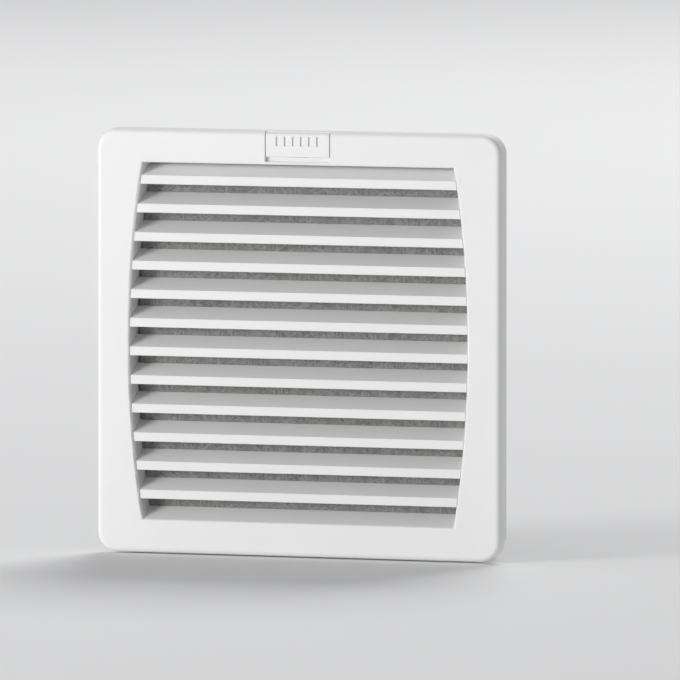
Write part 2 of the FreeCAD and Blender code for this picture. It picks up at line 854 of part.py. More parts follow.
def panel_clip(label, side, level):
    """One sprung clip lever; side is 1 on the right and -1 on the left."""
    clip = Piece(label)
    half = "clip_width/2"
    arm = outline([
        ("clip_pivot_out - clip_heel", "clip_pivot_in - clip_heel_drop"),
        ("clip_pivot_out + clip_waist", "clip_pivot_in - clip_waist_drop"),
        ("clip_tip_out - clip_barb", "clip_tip_in"),
        ("clip_tip_out", "clip_tip_in"),
        ("clip_tip_out", "clip_tip_in + clip_barb_land"),
        ("clip_pivot_out + clip_back", "clip_pivot_in - clip_back_drop"),
        ("clip_pivot_out + clip_hub", "clip_pivot_in"),
    ])
    clip.pad([arm], f"-{half}", half, "XY_Plane")
    clip.pad([circle("clip_pivot_out", "clip_pivot_in", "clip_hub")], f"-{half}", half, "XY_Plane")
    bore = circle("clip_pivot_out", "clip_pivot_in", "clip_pin_radius + clip_pin_play")
    clip.pocket([bore], f"-{half}", half, "XY_Plane")
    turned = Rotation(Vector(0, 1, 0), 0 if side > 0 else 180)
    clip.body.Placement = Placement(Vector(0, 0, 0), turned)
    clip.body.setExpression("Placement.Base.z", on_sheet(f"{level}*clip_height"))
    return clip


def clip_pins():
    """The four pins that carry the panel clips."""
    pins = Piece("clip_pins")
    reach = "(clip_width/2 + clip_play + clip_ear)"
    rounds = clip_pivots("clip_pin_radius")
    for side in (-1, 1):
        pins.pad(rounds, f"{side}*clip_height - {reach}", f"{side}*clip_height + {reach}", "XY_Plane")
    return pins


def inlet_guard():
    """The moulded grid in front of the fan's inlet."""
    guard = Piece("inlet_guard")
    front = f"{WALL_FRONT} - guard_thick"
    for number in range(int(SIZES["guard_rings"])):
        outer = f"(guard_rim - {number}*guard_ring_step)"
        width = "2*guard_bar" if number == 0 else "guard_bar"
        guard.pad([circle("0", "0", outer), circle("0", "0", f"{outer} - {width}")], front, WALL_FRONT)
    inner = "(guard_rim - (guard_rings - 1)*guard_ring_step - guard_bar)"
    spoke = rectangle(inner, "guard_rim - guard_bar", "-guard_bar/2", "guard_bar/2")
    bar = guard.pad([spoke], front, WALL_FRONT)
    guard.ring([bar], "guard_spokes")
    return guard


# Fan


def fan_frame():
    """The die-cast fan housing with its flanges, struts and bearing tube."""
    frame = Piece("fan_frame")
    flat = "fan_flats/2"
    reach = "sqrt(fan_radius^2 - fan_flats^2/4)"
    corners = [(f"-{reach}", f"-{flat}"), (reach, f"-{flat}"), (reach, flat), (f"-{reach}", flat)]
    flange = outline(corners, {1: "fan_radius", 3: "fan_radius"})
    frame.pad([flange], FAN_FRONT, f"{FAN_FRONT} + fan_flange")
    frame.pad([flange], f"{FAN_REAR} - fan_flange", FAN_REAR)
    frame.pad([circle("0", "0", "fan_bore + fan_wall")], FAN_FRONT, FAN_REAR)
    frame.pocket([circle("0", "0", "fan_bore")], FAN_FRONT, FAN_REAR)
    frame.round_edges("fan_inlet_round", inlet_edge)
    frame.pocket(screw_circles("screw_hole"), FAN_FRONT, FAN_REAR)
    strut = rectangle("fan_hub - fan_wall", "fan_bore + fan_wall/2", "-strut_width/2", "strut_width/2")
    bar = frame.pad([strut], f"{FAN_REAR} - strut_depth", FAN_REAR)
    frame.ring([bar], "strut_count")
    frame.pad([circle("0", "0", "fan_hub")], f"{FAN_REAR} - fan_hub_thick", FAN_REAR)
    tube_front = f"({FAN_FRONT} + tube_setback)"
    frame.pad([circle("0", "0", "bearing_tube")], tube_front, f"{FAN_REAR} - fan_hub_thick/2")
    frame.pocket([circle("0", "0", "bearing_step")], tube_front, FAN_REAR)
    frame.pocket([circle("0", "0", "bearing_seat")], tube_front, f"{FRONT_BEARING} + bearing_width")
    frame.pocket([circle("0", "0", "bearing_seat")], REAR_BEARING, FAN_REAR)
    return frame


def inlet_edge(edge):
    """True for the front edge of the fan's bore."""
    return edge_on(edge, FAN_FRONT) and near(edge.BoundBox.XMax, "fan_bore")


def bearing(label, start):
    """One ball bearing, as its closed outside shape."""
    race = Piece(label)
    rings = [circle("0", "0", "bearing_seat"), circle("0", "0", "shaft_radius + bearing_bore_play")]
    race.pad(rings, start, f"{start} + bearing_width")
    return race


def stator_core():
    """The slotted stack of stator sheets on the bearing tube."""
    core = Piece("stator_core")
    outer = "cup_radius - cup_wall - cage_wall - air_gap"
    core.pad([circle("0", "0", outer), circle("0", "0", "bearing_tube")], STATOR_FRONT, STATOR_REAR)
    half = "stator_slot_width/2"
    opening = rectangle("stator_slot_inner", "stator_slot_outer", f"-{half}", half)
    slot = core.pocket([opening], STATOR_FRONT, STATOR_REAR)
    core.ring([slot], "stator_slots")
    return core


def stator_winding():
    """The copper winding: two end rings joined through the slots."""
    winding = Piece("stator_winding")
    inner = "stator_slot_inner - winding_edge"
    outer = "stator_slot_outer + winding_edge"
    play = "winding_play"
    rings = [circle("0", "0", outer), circle("0", "0", inner)]
    winding.pad(rings, f"{STATOR_FRONT} - winding_overhang", f"{STATOR_FRONT} - {play}")
    half = f"(stator_slot_width/2 - {play})"
    bar = rectangle(f"stator_slot_inner + {play}", f"stator_slot_outer - {play}", f"-{half}", half)
    conductor = winding.pad([bar], f"{STATOR_FRONT} - winding_edge", f"{STATOR_REAR} + winding_edge")
    winding.ring([conductor], "stator_slots")
    winding.pad(rings, f"{STATOR_REAR} + {play}", f"{STATOR_REAR} + winding_overhang")
    return winding


def rotor_shaft():
    """The shaft with its circlip groove."""
    shaft = Piece("rotor_shaft")
    shaft.pad([circle("0", "0", "shaft_radius")], CUP_FRONT, f"{CUP_FRONT} + shaft_length")
    groove = [circle("0", "0", "2*shaft_radius"), circle("0", "0", "shaft_radius - circlip_groove")]
    shaft.pocket(groove, CIRCLIP, f"{CIRCLIP} + circlip_thick")
    return shaft


def shaft_circlip():
    """The circlip behind the rear bearing."""
    clip = Piece("shaft_circlip")
    outer = "shaft_radius + circlip_reach"
    rear = f"{CIRCLIP} + circlip_thick"
    clip.pad([circle("0", "0", outer), circle("0", "0", "shaft_radius - circlip_groove")], CIRCLIP, rear)
    clip.pocket([rectangle("0", "2*shaft_radius", "-circlip_gap/2", "circlip_gap/2")], CIRCLIP, rear)
    return clip


def rotor_cup():
    """The steel rotor cup that turns round the stator."""
    cup = Piece("rotor_cup")
    front = CUP_FRONT
    rear = f"({CUP_FRONT} + cup_length)"
    cup.turn([outline([
        ("shaft_radius", front),
        ("cup_radius", front),
        ("cup_radius", rear),
        ("cup_radius - cup_wall", rear),
        ("cup_radius - cup_wall", f"{front} + cup_wall"),
        ("shaft_radius", f"{front} + cup_wall"),
    ])])
    return cup


def rotor_cage():
    """The rotor's laminated ring inside the cup."""
    cage = Piece("rotor_cage")
    outer = "cup_radius - cup_wall"
    rings = [circle("0", "0", outer), circle("0", "0", f"{outer} - cage_wall")]
    cage.pad(rings, f"{STATOR_FRONT} - cage_overhang", f"{STATOR_REAR} + cage_overhang")
    return cage


def impeller():
    """The hub and its twisted blades."""
    wheel = Piece("impeller")
    front = f"({FAN_FRONT} + hub_setback)"
    wheel.pad([circle("0", "0", "cup_radius + hub_wall")], front, f"{front} + hub_length")
    wheel.round_edges("hub_wall", lambda edge: edge_on(edge, front))
    root = (blade_section("root_half_depth", "root_half_spread"), "-blade_root")
    tip = (blade_section("tip_half_depth", "tip_half_spread"), "-blade_tip - blade_overrun")
    blade = wheel.loft([root, tip], "YZ_Plane")
    wheel.ring([blade], "blade_count")
    wheel.pocket([circle("0", "0", "2*blade_tip"), circle("0", "0", "blade_tip")], FAN_FRONT, FAN_REAR)
    wheel.pocket([circle("0", "0", "cup_radius")], CUP_FRONT, FAN_REAR)
    wheel.pocket([circle("0", "0", "hub_hole")], front, CUP_FRONT)
    return wheel


def blade_section(deep, across):
    """A cambered blade section with its half depth and half spread."""
    middle = f"({FAN_FRONT} + blade_middle)"
    camber = f"blade_camber*sqrt({deep}^2 + {across}^2)"
    half = "blade_thick/2"
    return outline([
        (f"{middle} - {deep}", f"-{across}"),
        (f"{middle} + {deep}", across),
        (f"{middle} + {deep} - {half}", f"{across} + {half}"),
        (f"{middle} - {deep} - {half}", f"-{across} + {half}"),
    ], {0: camber, 2: "-" + camber})


def screws(label, head_start, towards, length, places, head="screw_head", radius="screw_radius"):
    """A set of pan-head screws; towards is -1 for shanks that run to the front."""
    group = Piece(label)
    heads = [circle(across, up, head) for across, up in places]
    shanks = [circle(across, up, radius) for across, up in places]
    seat = f"({head_start})"
    if towards > 0:
        group.pad(heads, f"{seat} - screw_head_height", seat)
        group.pad(shanks, seat, f"{seat} + {length}")
    else:
        group.pad(heads, seat, f"{seat} + screw_head_height")
        group.pad(shanks, f"{seat} - {length}", seat)
    return group


def nuts(label, start):
    """A set of hexagon nuts at the four screw places."""
    group = Piece(label)
    shapes = [hexagon(across, up, "nut_flats") for across, up in screw_places()]
    group.pad(shapes + screw_circles("screw_radius"), start, f"{start} + nut_height")
    return group


def finger_guard():
    """The welded wire guard behind the fan."""
    guard = Piece("finger_guard")
    arm_place = f"({FAN_REAR} + arm_radius + arm_lift)"
    ring_place = f"({arm_place} + arm_radius + wire_radius - weld)"
    arm_outer = "screw_circle - eyelet_radius + weld"
    arm = guard.pad([circle(arm_place, "0", "arm_radius")], "arm_inner", arm_outer, "YZ_Plane")
    eyelet = [circle("screw_circle", "0", "eyelet_radius"), circle("screw_circle", "0", "screw_hole")]
    loop = guard.pad(eyelet, FAN_REAR, f"{FAN_REAR} + 2*wire_radius")
    guard.ring([arm, loop], "arm_count")
    for number in range(int(SIZES["ring_count"])):
        ring = circle(f"ring_first + {number}*ring_step", ring_place, "wire_radius")
        guard.turn([ring], swing=20)
    guard.body.Placement = Placement(Vector(0, 0, 0), Rotation(Vector(0, 1, 0), 45))
    return guard


# Electrical parts


def terminal_block():
    """The push-in terminal block on the tray's rear wall."""
    block = Piece("terminal_block")
    left = "(terminal_across - terminal_width/2)"
    right = "(terminal_across + terminal_width/2)"
    low = "(-terminal_drop - terminal_height/2)"
    high = "(-terminal_drop + terminal_height/2)"
    rear = "(tray_depth + terminal_depth)"
    block.pad([rectangle(left, right, low, high)], "tray_depth", rear)
    foot = rectangle("terminal_across - terminal_foot/2", "terminal_across + terminal_foot/2",
                     "-terminal_drop - terminal_height/4", "-terminal_drop + terminal_height/4")
    block.pad([foot], "tray_depth", "tray_depth + terminal_foot_thick")
    wells = []
    entries = []
    for pole in (-1, 0, 1):
        across = f"terminal_across + {pole}*pole_step"
        wells.append(button_outline(across, "button_play"))
        entries.append(circle(across, "-terminal_drop - terminal_height/4", "wire_entry"))
    block.pocket(wells, f"{rear} - button_length - button_travel", rear)
    block.pocket(entries, f"{rear} - wire_entry_depth", rear)
    holes = [circle(place, "-terminal_drop", "terminal_hole") for place in foot_places()]
    block.pocket(holes, "tray_depth", "tray_depth + terminal_foot_thick")
    return block


def button_outline(across, play):
    """A push button's outline with some play round it."""
    level = "(-terminal_drop + terminal_height/4)"
    wide = f"(button_width/2 + {play})"
    tall = f"(button_height/2 + {play})"
    return rectangle(f"{across} - {wide}", f"{across} + {wide}", f"{level} - {tall}", f"{level} + {tall}")


def terminal_button(label, pole):
    """One push button that opens a wire clamp."""
    button = Piece(label)
    rear = "(tray_depth + terminal_depth + button_travel)"
    button.pad([button_outline(f"terminal_across + {pole}*pole_step", "0")], f"{rear} - button_length", rear)
    return button


def fan_connector():
    """The moulded connector body under the fan."""
    body = Piece("fan_connector")
    top = "(-fan_bore - fan_wall - connector_gap)"
    low = f"({top} - connector_height)"
    front = f"({FAN_FRONT} + connector_setback)"
    block = rectangle("-connector_width/2", "connector_width/2", low, top)
    body.pad([block], front, f"{front} + connector_length")
    body.pocket(tab_outlines(), low, f"{top} - tab_seat", "XY_Plane")
    return body


def tab_outlines():
    """The outlines of the two spade tabs, seen along Z."""
    middle = f"({FAN_FRONT} + connector_setback + connector_length/2)"
    outlines = []
    for side in (-1, 1):
        across = f"{side}*tab_out"
        outlines.append(rectangle(f"{across} - tab_width/2", f"{across} + tab_width/2",
                                  f"{middle} - tab_thick/2", f"{middle} + tab_thick/2"))
    return outlines


def fan_tabs():
    """The two spade tabs in the fan connector."""
    tabs = Piece("fan_tabs")
    top = "(-fan_bore - fan_wall - connector_gap - tab_seat)"
    tabs.pad(tab_outlines(), f"{top} - tab_length", top, "XY_Plane")
    return tabs


pieces = [
    front_grille(),
    louvre_slats(),
    mat_collar(),
    filter_mat(),
    mat_retainer(),
    hinge_pins(),
    latch_slider(),
    mounting_frame(),
    fan_tray(),
    clip_seats(),
    tray_ribs(),
    flange_seal(),
    panel_clip("panel_clip_right_upper", 1, 1),
    panel_clip("panel_clip_right_lower", 1, -1),
    panel_clip("panel_clip_left_upper", -1, 1),
    panel_clip("panel_clip_left_lower", -1, -1),
    clip_pins(),
    inlet_guard(),
    fan_frame(),
    bearing("bearing_front", FRONT_BEARING),
    bearing("bearing_rear", REAR_BEARING),
    stator_core(),
    stator_winding(),
    rotor_shaft(),
    shaft_circlip(),
    rotor_cup(),
    rotor_cage(),
    impeller(),
    screws("fan_screws", WALL_FRONT, 1, "(rear_wall + fan_flange + nut_height + 1)", screw_places()),
    nuts("fan_nuts", f"{FAN_FRONT} + fan_flange"),
    finger_guard(),
    screws("guard_screws", f"{FAN_REAR} + 2*wire_radius", -1,
           "(2*wire_radius + fan_flange + nut_height + 1)", screw_places()),
    nuts("guard_nuts", f"{FAN_REAR} - fan_flange - nut_height"),
    terminal_block(),
    terminal_button("terminal_button_left", -1),
    terminal_button("terminal_button_middle", 0),
    terminal_button("terminal_button_right", 1),
    screws("terminal_screws", "tray_depth + terminal_foot_thick", -1, "(terminal_foot_thick + rear_wall)",
           [(place, "-terminal_drop") for place in foot_places()], "terminal_screw_head", "terminal_screw"),
    fan_connector(),
    fan_tabs(),
]

doc.recompute()
os.makedirs("parts", exist_ok=True)
for item in doc.Objects:
    if {"Invalid", "Error"} & set(item.State):
        raise RuntimeError(f"{item.Name} did not build: {item.State}")
for piece in pieces:
    shape = piece.body.Shape
    if shape.isNull() or not shape.isValid() or not shape.Solids:
        raise RuntimeError(f"{piece.body.Label} has no valid shape")
    shape.exportStep(f"parts/{piece.body.Label}.step")
    box = shape.BoundBox
    print(f"{piece.body.Label:24s} solids {len(shape.Solids)}  volume {shape.Volume:10.1f}",
          f"box {box.XLength:.1f} x {box.YLength:.1f} x {box.ZLength:.1f}")
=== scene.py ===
"""Enclosure filter fan: finishes, fleece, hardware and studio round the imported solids.

Lengths are in metres unless a name ends in _mm. X runs to the right seen from the
front, Y runs into the enclosure and Z runs up.
"""

import logging
import math
from dataclasses import dataclass
from enum import Enum
from functools import cache
from typing import Any

import bmesh
import bpy
from mathutils import Matrix, Vector


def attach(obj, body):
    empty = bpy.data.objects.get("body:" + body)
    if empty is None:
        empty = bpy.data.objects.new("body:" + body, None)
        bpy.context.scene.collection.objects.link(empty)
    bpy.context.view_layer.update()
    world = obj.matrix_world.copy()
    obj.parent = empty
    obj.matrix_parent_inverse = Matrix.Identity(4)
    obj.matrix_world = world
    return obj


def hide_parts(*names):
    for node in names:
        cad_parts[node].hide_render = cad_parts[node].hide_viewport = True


LOG = logging.getLogger("filter_fan")
Material = bpy.types.Material
Mesh = bpy.types.Mesh
Node = bpy.types.Node
Object = bpy.types.Object
Points = list[bmesh.types.BMVert]
Shape = bmesh.types.BMesh
Socket = bpy.types.NodeSocket
Tree = bpy.types.NodeTree

MM = 0.001
# Points of a cut mesh that lie closer than this are one point.
MERGE_MM = 0.005
# The same for a turned profile, in the profile's own unit.
MERGE_PROFILE = 1e-6
# Turns what is drawn in the XY plane into the XZ plane.
UPRIGHT = (math.pi / 2, 0, 0)
# Edges from this angle stay sharp on moulded pieces, and on nuts and bearings.
SHARP_DEG = 32.0
TURNED_DEG = 25.0

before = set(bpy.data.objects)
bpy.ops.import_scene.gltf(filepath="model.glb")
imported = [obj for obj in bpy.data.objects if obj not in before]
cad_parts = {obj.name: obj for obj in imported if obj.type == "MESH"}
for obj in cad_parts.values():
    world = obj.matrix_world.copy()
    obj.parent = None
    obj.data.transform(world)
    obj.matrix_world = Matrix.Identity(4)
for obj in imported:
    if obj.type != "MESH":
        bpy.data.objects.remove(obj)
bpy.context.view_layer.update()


def linear(code: str) -> tuple[float, float, float, float]:
    """Turns an sRGB hex colour into linear light.

    Args:
        code: the colour as a hash sign and six hex digits.

    Returns:
        Red, green, blue and a full alpha.
    """
    parts = [int(code[start:start + 2], 16) / 255 for start in (1, 3, 5)]
    # The numbers are those of the sRGB standard.
    red, green, blue = (
        part / 12.92 if part <= 0.04045 else ((part + 0.055) / 1.055) ** 2.4 for part in parts
    )
    return red, green, blue, 1.0


def add_node(tree: Tree, kind: str, inputs: dict[Any, Any] | None = None, **settings: Any) -> Node:
    """Adds a node with its settings and fills or links its inputs.

    Args:
        tree: the node tree that takes the node.
        kind: the node's type name.
        inputs: values, output sockets or nodes with one output, by input name or number.
        settings: properties of the node.

    Returns:
        The new node.
    """
    item = tree.nodes.new(kind)
    for name, value in settings.items():
        setattr(item, name, value)
    for key, value in (inputs or {}).items():
        source = value.outputs[0] if isinstance(value, Node) else value
        if isinstance(source, Socket):
            tree.links.new(source, item.inputs[key])
        else:
            item.inputs[key].default_value = source
    return item


# Directions of crossed fibres; a finish with one direction takes the first.
FIBRE_TURNS_DEG = (0.0, 62.0, -54.0)
# The highest of several noises seldom leaves this band, so it is stretched to the full height.
FIBRE_BAND = (0.45, 0.72)
# The band texture repeats every 2 pi / 20 of its own unit.
BAND_PERIOD = 2 * math.pi / 20
GRAIN_DETAIL = 3.0
MOTTLE_DETAIL = 4.0
EDGE_SAMPLES = 4


class Pattern(Enum):
    """How the fine relief of a finish is laid out."""

    PEBBLE = "pebble"
    DRAWN = "drawn"
    CELLS = "cells"
    SHEETS = "sheets"
    FIBRES = "fibres"


@dataclass(frozen=True)
class Finish:
    """One surface finish, named for its material and how the surface was made.

    The grain is the fine relief; the mottle is the slow change from colour to shade.
    """

    name: str
    colour: str
    shade: str
    roughness: float
    grain_mm: float
    relief_mm: float
    pattern: Pattern = Pattern.PEBBLE
    metallic: float = 0.0
    ior: float = 1.5
    mottle_mm: float = 45.0
    rough_swing: float = 0.06
    edge_mm: float = 0.0
    sheen: float = 0.0
    coat: float = 0.0
    grain_tint: float = 0.0
    stretch: tuple[float, float, float] = (1.0, 1.0, 1.0)

    def grain(self, tree: Tree, place: Socket, turn_deg: float = 0.0) -> Socket:
        """Adds a noise drawn out along the finish's own direction.

        Args:
            tree: the material's node tree.
            place: object coordinates.
            turn_deg: how far the direction is turned about Y.

        Returns:
            The noise, from 0 to 1.
        """
        turn = (0.0, math.radians(turn_deg), 0.0)
        drawn = {"Vector": place, "Rotation": turn, "Scale": self.stretch}
        turned = add_node(tree, "ShaderNodeMapping", drawn, vector_type="TEXTURE")
        noise = {"Vector": turned, "Scale": 1 / (self.grain_mm * MM), "Detail": GRAIN_DETAIL}
        return add_node(tree, "ShaderNodeTexNoise", noise).outputs["Fac"]

    def relief(self, tree: Tree, place: Socket) -> Socket:
        """Adds the nodes of the fine relief.

        Args:
            tree: the material's node tree.
            place: object coordinates.

        Returns:
            The relief's height, from 0 to 1.
        """
        scale = 1 / (self.grain_mm * MM)
        if self.pattern is Pattern.CELLS:
            cells = {"Vector": place, "Scale": scale}
            return add_node(tree, "ShaderNodeTexVoronoi", cells).outputs["Distance"]
        if self.pattern is Pattern.SHEETS:
            bands = {"Vector": place, "Scale": scale * BAND_PERIOD}
            return add_node(tree, "ShaderNodeTexWave", bands, bands_direction="Y").outputs["Fac"]
        height = self.grain(tree, place, FIBRE_TURNS_DEG[0])
        if self.pattern is not Pattern.FIBRES:
            return height
        for turn in FIBRE_TURNS_DEG[1:]:
            layers = {0: height, 1: self.grain(tree, place, turn)}
            height = add_node(tree, "ShaderNodeMath", layers, operation="MAXIMUM")
        band = {"Value": height, "From Min": FIBRE_BAND[0], "From Max": FIBRE_BAND[1]}
        return add_node(tree, "ShaderNodeMapRange", band).outputs[0]

    def build(self) -> Material:
        """Makes the finish's material.

        Returns:
            The material, ready for a material slot.
        """
        material = bpy.data.materials.new(self.name)
        material.use_nodes = True
        tree = material.node_tree
        tree.nodes.clear()
        place = add_node(tree, "ShaderNodeTexCoord").outputs["Object"]
        height = self.relief(tree, place)
        cloud = {"Vector": place, "Scale": 1 / (self.mottle_mm * MM), "Detail": MOTTLE_DETAIL}
        mottle = add_node(tree, "ShaderNodeTexNoise", cloud).outputs["Fac"]
        # Mottle and grain set the colour, and the grain sets the roughness.
        # A Mix node takes its share at 0, two values at 2 and 3, and two colours at 6 and 7.
        tint = add_node(tree, "ShaderNodeMix", {0: self.grain_tint, 2: mottle, 3: height})
        blend = {0: tint, 6: linear(self.colour), 7: linear(self.shade)}
        colour = add_node(tree, "ShaderNodeMix", blend, data_type="RGBA").outputs[2]
        swing = {"Value": height, "To Min": self.roughness - self.rough_swing,
                 "To Max": self.roughness + self.rough_swing}
        roughness = add_node(tree, "ShaderNodeMapRange", swing)
        bump = {"Height": height, "Strength": 1.0, "Distance": self.relief_mm * MM}
        if self.edge_mm:
            edges = {"Radius": self.edge_mm * MM}
            bump["Normal"] = add_node(tree, "ShaderNodeBevel", edges, samples=EDGE_SAMPLES)
        normal = add_node(tree, "ShaderNodeBump", bump)
        surface = add_node(tree, "ShaderNodeBsdfPrincipled", {
            "Base Color": colour,
            "Roughness": roughness,
            "Normal": normal,
            "Metallic": self.metallic,
            "IOR": self.ior,
            "Sheen Weight": self.sheen,
            "Coat Weight": self.coat,
        })
        add_node(tree, "ShaderNodeOutputMaterial", {"Surface": surface})
        return material


# White ABS, moulded in a spark-eroded tool: even, matt, with a pebble too fine to see one by one.
COVER_ABS = Finish("abs_moulded_white", "#f3f3f2", "#eeeeed", roughness=0.46, grain_mm=0.9,
                   relief_mm=0.022, edge_mm=0.35, ior=1.53)
# Light grey ABS of the parts behind the cover, from a smoother tool.
FRAME_ABS = Finish("abs_moulded_light_grey", "#dadcdb", "#d3d5d4", roughness=0.42, grain_mm=1.2,
                   relief_mm=0.014, edge_mm=0.3, ior=1.53)
# Needled polyester fleece: dull, grey, with fibres crossing each other. Its grey is partly the fleece's own
# colour and partly painted shade: both greys are darkened below the fleece's own pale colour to stand for the
# shade in the deep gaps between the louvre slats.
SHADE_DARKENED_FLEECE = Finish("polyester_needled_fleece_painted_shade", "#72726f", "#b2b2ae", roughness=0.92, grain_mm=0.8,
                relief_mm=0.25, pattern=Pattern.FIBRES, sheen=0.35, mottle_mm=14.0, grain_tint=0.75,
                stretch=(1.0, 1.0, 7.0))
# Closed-cell foam: dull black with open cells where it was cut.
FOAM = Finish("epdm_foam_cut", "#262627", "#1c1c1d", roughness=0.88, grain_mm=0.8, relief_mm=0.12,
              pattern=Pattern.CELLS, mottle_mm=9.0)
# Drawn steel: bright, with fine lines along its length.
PIN_STEEL = Finish("steel_drawn", "#b4b4b6", "#a2a3a6", roughness=0.28, grain_mm=0.5, relief_mm=0.006,
                   pattern=Pattern.DRAWN, metallic=1.0, stretch=(16.0, 1.0, 1.0))
# Black polyamide: slightly glossy, with glass fibres that cloud the surface.
CLIP_PA = Finish("polyamide_moulded_black", "#2b2c2e", "#232426", roughness=0.4, grain_mm=1.0,
                 relief_mm=0.016, edge_mm=0.25, ior=1.53)
# Die-cast aluminium under black powder coat: an orange-peel skin.
CAST_BLACK = Finish("aluminium_cast_powder_coated", "#222224", "#191a1b", roughness=0.44, grain_mm=2.4,
                    relief_mm=0.05, edge_mm=0.4, rough_swing=0.1)
# Zinc plating on steel: pale, slightly blue, cloudy.
ZINC = Finish("steel_zinc_plated", "#c9ccd0", "#aeb0b2", roughness=0.3, grain_mm=0.8, relief_mm=0.006,
              metallic=1.0, mottle_mm=5.0, rough_swing=0.1)
# Stack of electrical sheets, each half a millimetre thick.
SHEETS = Finish("electrical_steel_stacked", "#6e7073", "#5a5c5f", roughness=0.45, grain_mm=0.5,
                relief_mm=0.05, pattern=Pattern.SHEETS, metallic=1.0)
# Rotor cup: pressed steel with a satin black paint.
ROTOR_PAINT = Finish("steel_pressed_black_paint", "#1e1f20", "#161718", roughness=0.36, grain_mm=1.6,
                     relief_mm=0.02)
# Copper wire under clear enamel: warm and glossy.
COPPER = Finish("copper_wire_enamelled", "#b8683a", "#9c5429", roughness=0.26, grain_mm=0.6, relief_mm=0.01,
                metallic=1.0, coat=0.6, mottle_mm=8.0)
# Glass-filled polyamide of the blades: satin black with flow marks.
BLADE_PA = Finish("polyamide_glass_filled_black", "#2a2b2d", "#202123", roughness=0.42, grain_mm=1.3,
                  relief_mm=0.02, edge_mm=0.3, ior=1.53, mottle_mm=22.0, rough_swing=0.1)
# Chromed steel wire: bright, with slight drawing waves.
CHROME_WIRE = Finish("steel_wire_chromed", "#d4d6d8", "#c4c6c9", roughness=0.13, grain_mm=2.0,
                     relief_mm=0.012, metallic=1.0, rough_swing=0.05)
# Grey polyamide of the terminal block.
TERMINAL_PA = Finish("polyamide_moulded_grey", "#9c9fa1", "#929597", roughness=0.44, grain_mm=0.9,
                     relief_mm=0.014, edge_mm=0.25, ior=1.53)
# Orange polyamide of the push buttons.
BUTTON_PA = Finish("polyamide_moulded_orange", "#d9702a", "#cc6420", roughness=0.4, grain_mm=0.8,
                   relief_mm=0.012, edge_mm=0.25, ior=1.53)
# Tinned brass of the spade tabs.
TINNED = Finish("brass_tinned", "#cfcabb", "#bdb8a6", roughness=0.3, grain_mm=0.7, relief_mm=0.006,
                metallic=1.0, mottle_mm=4.0)
# Pale matt floor.
FLOOR = Finish("floor_paint_matt", "#f5f5f5", "#f3f3f3", roughness=0.9, grain_mm=3.0, relief_mm=0.01,
               mottle_mm=400.0)


def new_object(name: str, mesh: Mesh) -> Object:
    """Puts a mesh in the scene as an object at the origin.

    Args:
        name: the object's name.
        mesh: its mesh.

    Returns:
        The object.
    """
    thing = bpy.data.objects.new(name, mesh)
    bpy.context.scene.collection.objects.link(thing)
    return thing


def finished_mesh(thing: Object) -> Mesh:
    """Gives an object's mesh with its modifiers applied and removes the object.

    Args:
        thing: the object whose modifiers are applied.

    Returns:
        A plain mesh.
    """
    graph = bpy.context.evaluated_depsgraph_get()
    mesh = bpy.data.meshes.new_from_object(thing.evaluated_get(graph))
    bpy.data.objects.remove(thing)
    return mesh


def run_tree(name: str, tree: Tree, values: dict[str, Any], base: Mesh | None = None) -> Mesh:
    """Runs a geometry tree and gives its result as a plain mesh.

    Args:
        name: the mesh's name.
        tree: the geometry tree.
        values: the tree's inputs by name.
        base: the mesh that the tree starts from, where it needs one.

    Returns:
        The tree's result.
    """
    holder = new_object(name, base or bpy.data.meshes.new(name))
    modifier = holder.modifiers.new("tree", "NODES")
    modifier.node_group = tree
    for item in tree.interface.items_tree:
        if item.item_type == "SOCKET" and item.in_out == "INPUT" and item.name in values:
            modifier[item.identifier] = values[item.name]
    return finished_mesh(holder)


# Types of a geometry tree's inputs by the types of their values.
SOCKETS = {
    float: "NodeSocketFloat",
    int: "NodeSocketInt",
    tuple: "NodeSocketVector",
    Material: "NodeSocketMaterial",
    Object: "NodeSocketObject",
}


def new_tree(name: str, values: dict[str, Any]) -> tuple[Tree, Any]:
    """Starts a geometry tree with a geometry input and a named input for each value.

    Args:
        name: the tree's name.
        values: the inputs' values by name.

    Returns:
        The tree and its inputs' sockets by name.
    """
    tree = bpy.data.node_groups.new(name, "GeometryNodeTree")
    for way in ("INPUT", "OUTPUT"):
        tree.interface.new_socket("Geometry", in_out=way, socket_type="NodeSocketGeometry")
    for label, value in values.items():
        tree.interface.new_socket(label, in_out="INPUT", socket_type=SOCKETS[type(value)])
    return tree, add_node(tree, "NodeGroupInput").outputs


def end_tree(tree: Tree, shape: Socket | Node, finish: Socket) -> None:
    """Ends a geometry tree in real geometry with its material.

    Args:
        tree: the geometry tree.
        shape: the geometry to end with.
        finish: the material input.
    """
    real = add_node(tree, "GeometryNodeRealizeInstances", {0: shape})
    dressed = add_node(tree, "GeometryNodeSetMaterial", {"Geometry": real, "Material": finish})
    add_node(tree, "NodeGroupOutput", {0: dressed})


def revolve(profile: list[tuple[float, float]], segments: int, closed: bool) -> Shape:
    """Turns a profile of radius and depth round the Y axis.

    Args:
        profile: points as radius and depth, in any unit.
        segments: steps round the axis.
        closed: True where the profile is a ring that closes on itself.

    Returns:
        The turned shape, with its faces outwards.
    """
    shape = bmesh.new()
    loops = []
    for step in range(segments):
        angle = 2 * math.pi * step / segments
        loops.append([shape.verts.new((r * math.cos(angle), y, r * math.sin(angle))) for r, y in profile])
    last = len(profile) if closed else len(profile) - 1
    for step, loop in enumerate(loops):
        after = loops[(step + 1) % segments]
        for index in range(last):
            right = (index + 1) % len(profile)
            shape.faces.new((loop[index], after[index], after[right], loop[right]))
    bmesh.ops.remove_doubles(shape, verts=shape.verts, dist=MERGE_PROFILE)
    bmesh.ops.dissolve_degenerate(shape, edges=shape.edges, dist=MERGE_PROFILE)
    bmesh.ops.recalc_face_normals(shape, faces=shape.faces)
    return shape


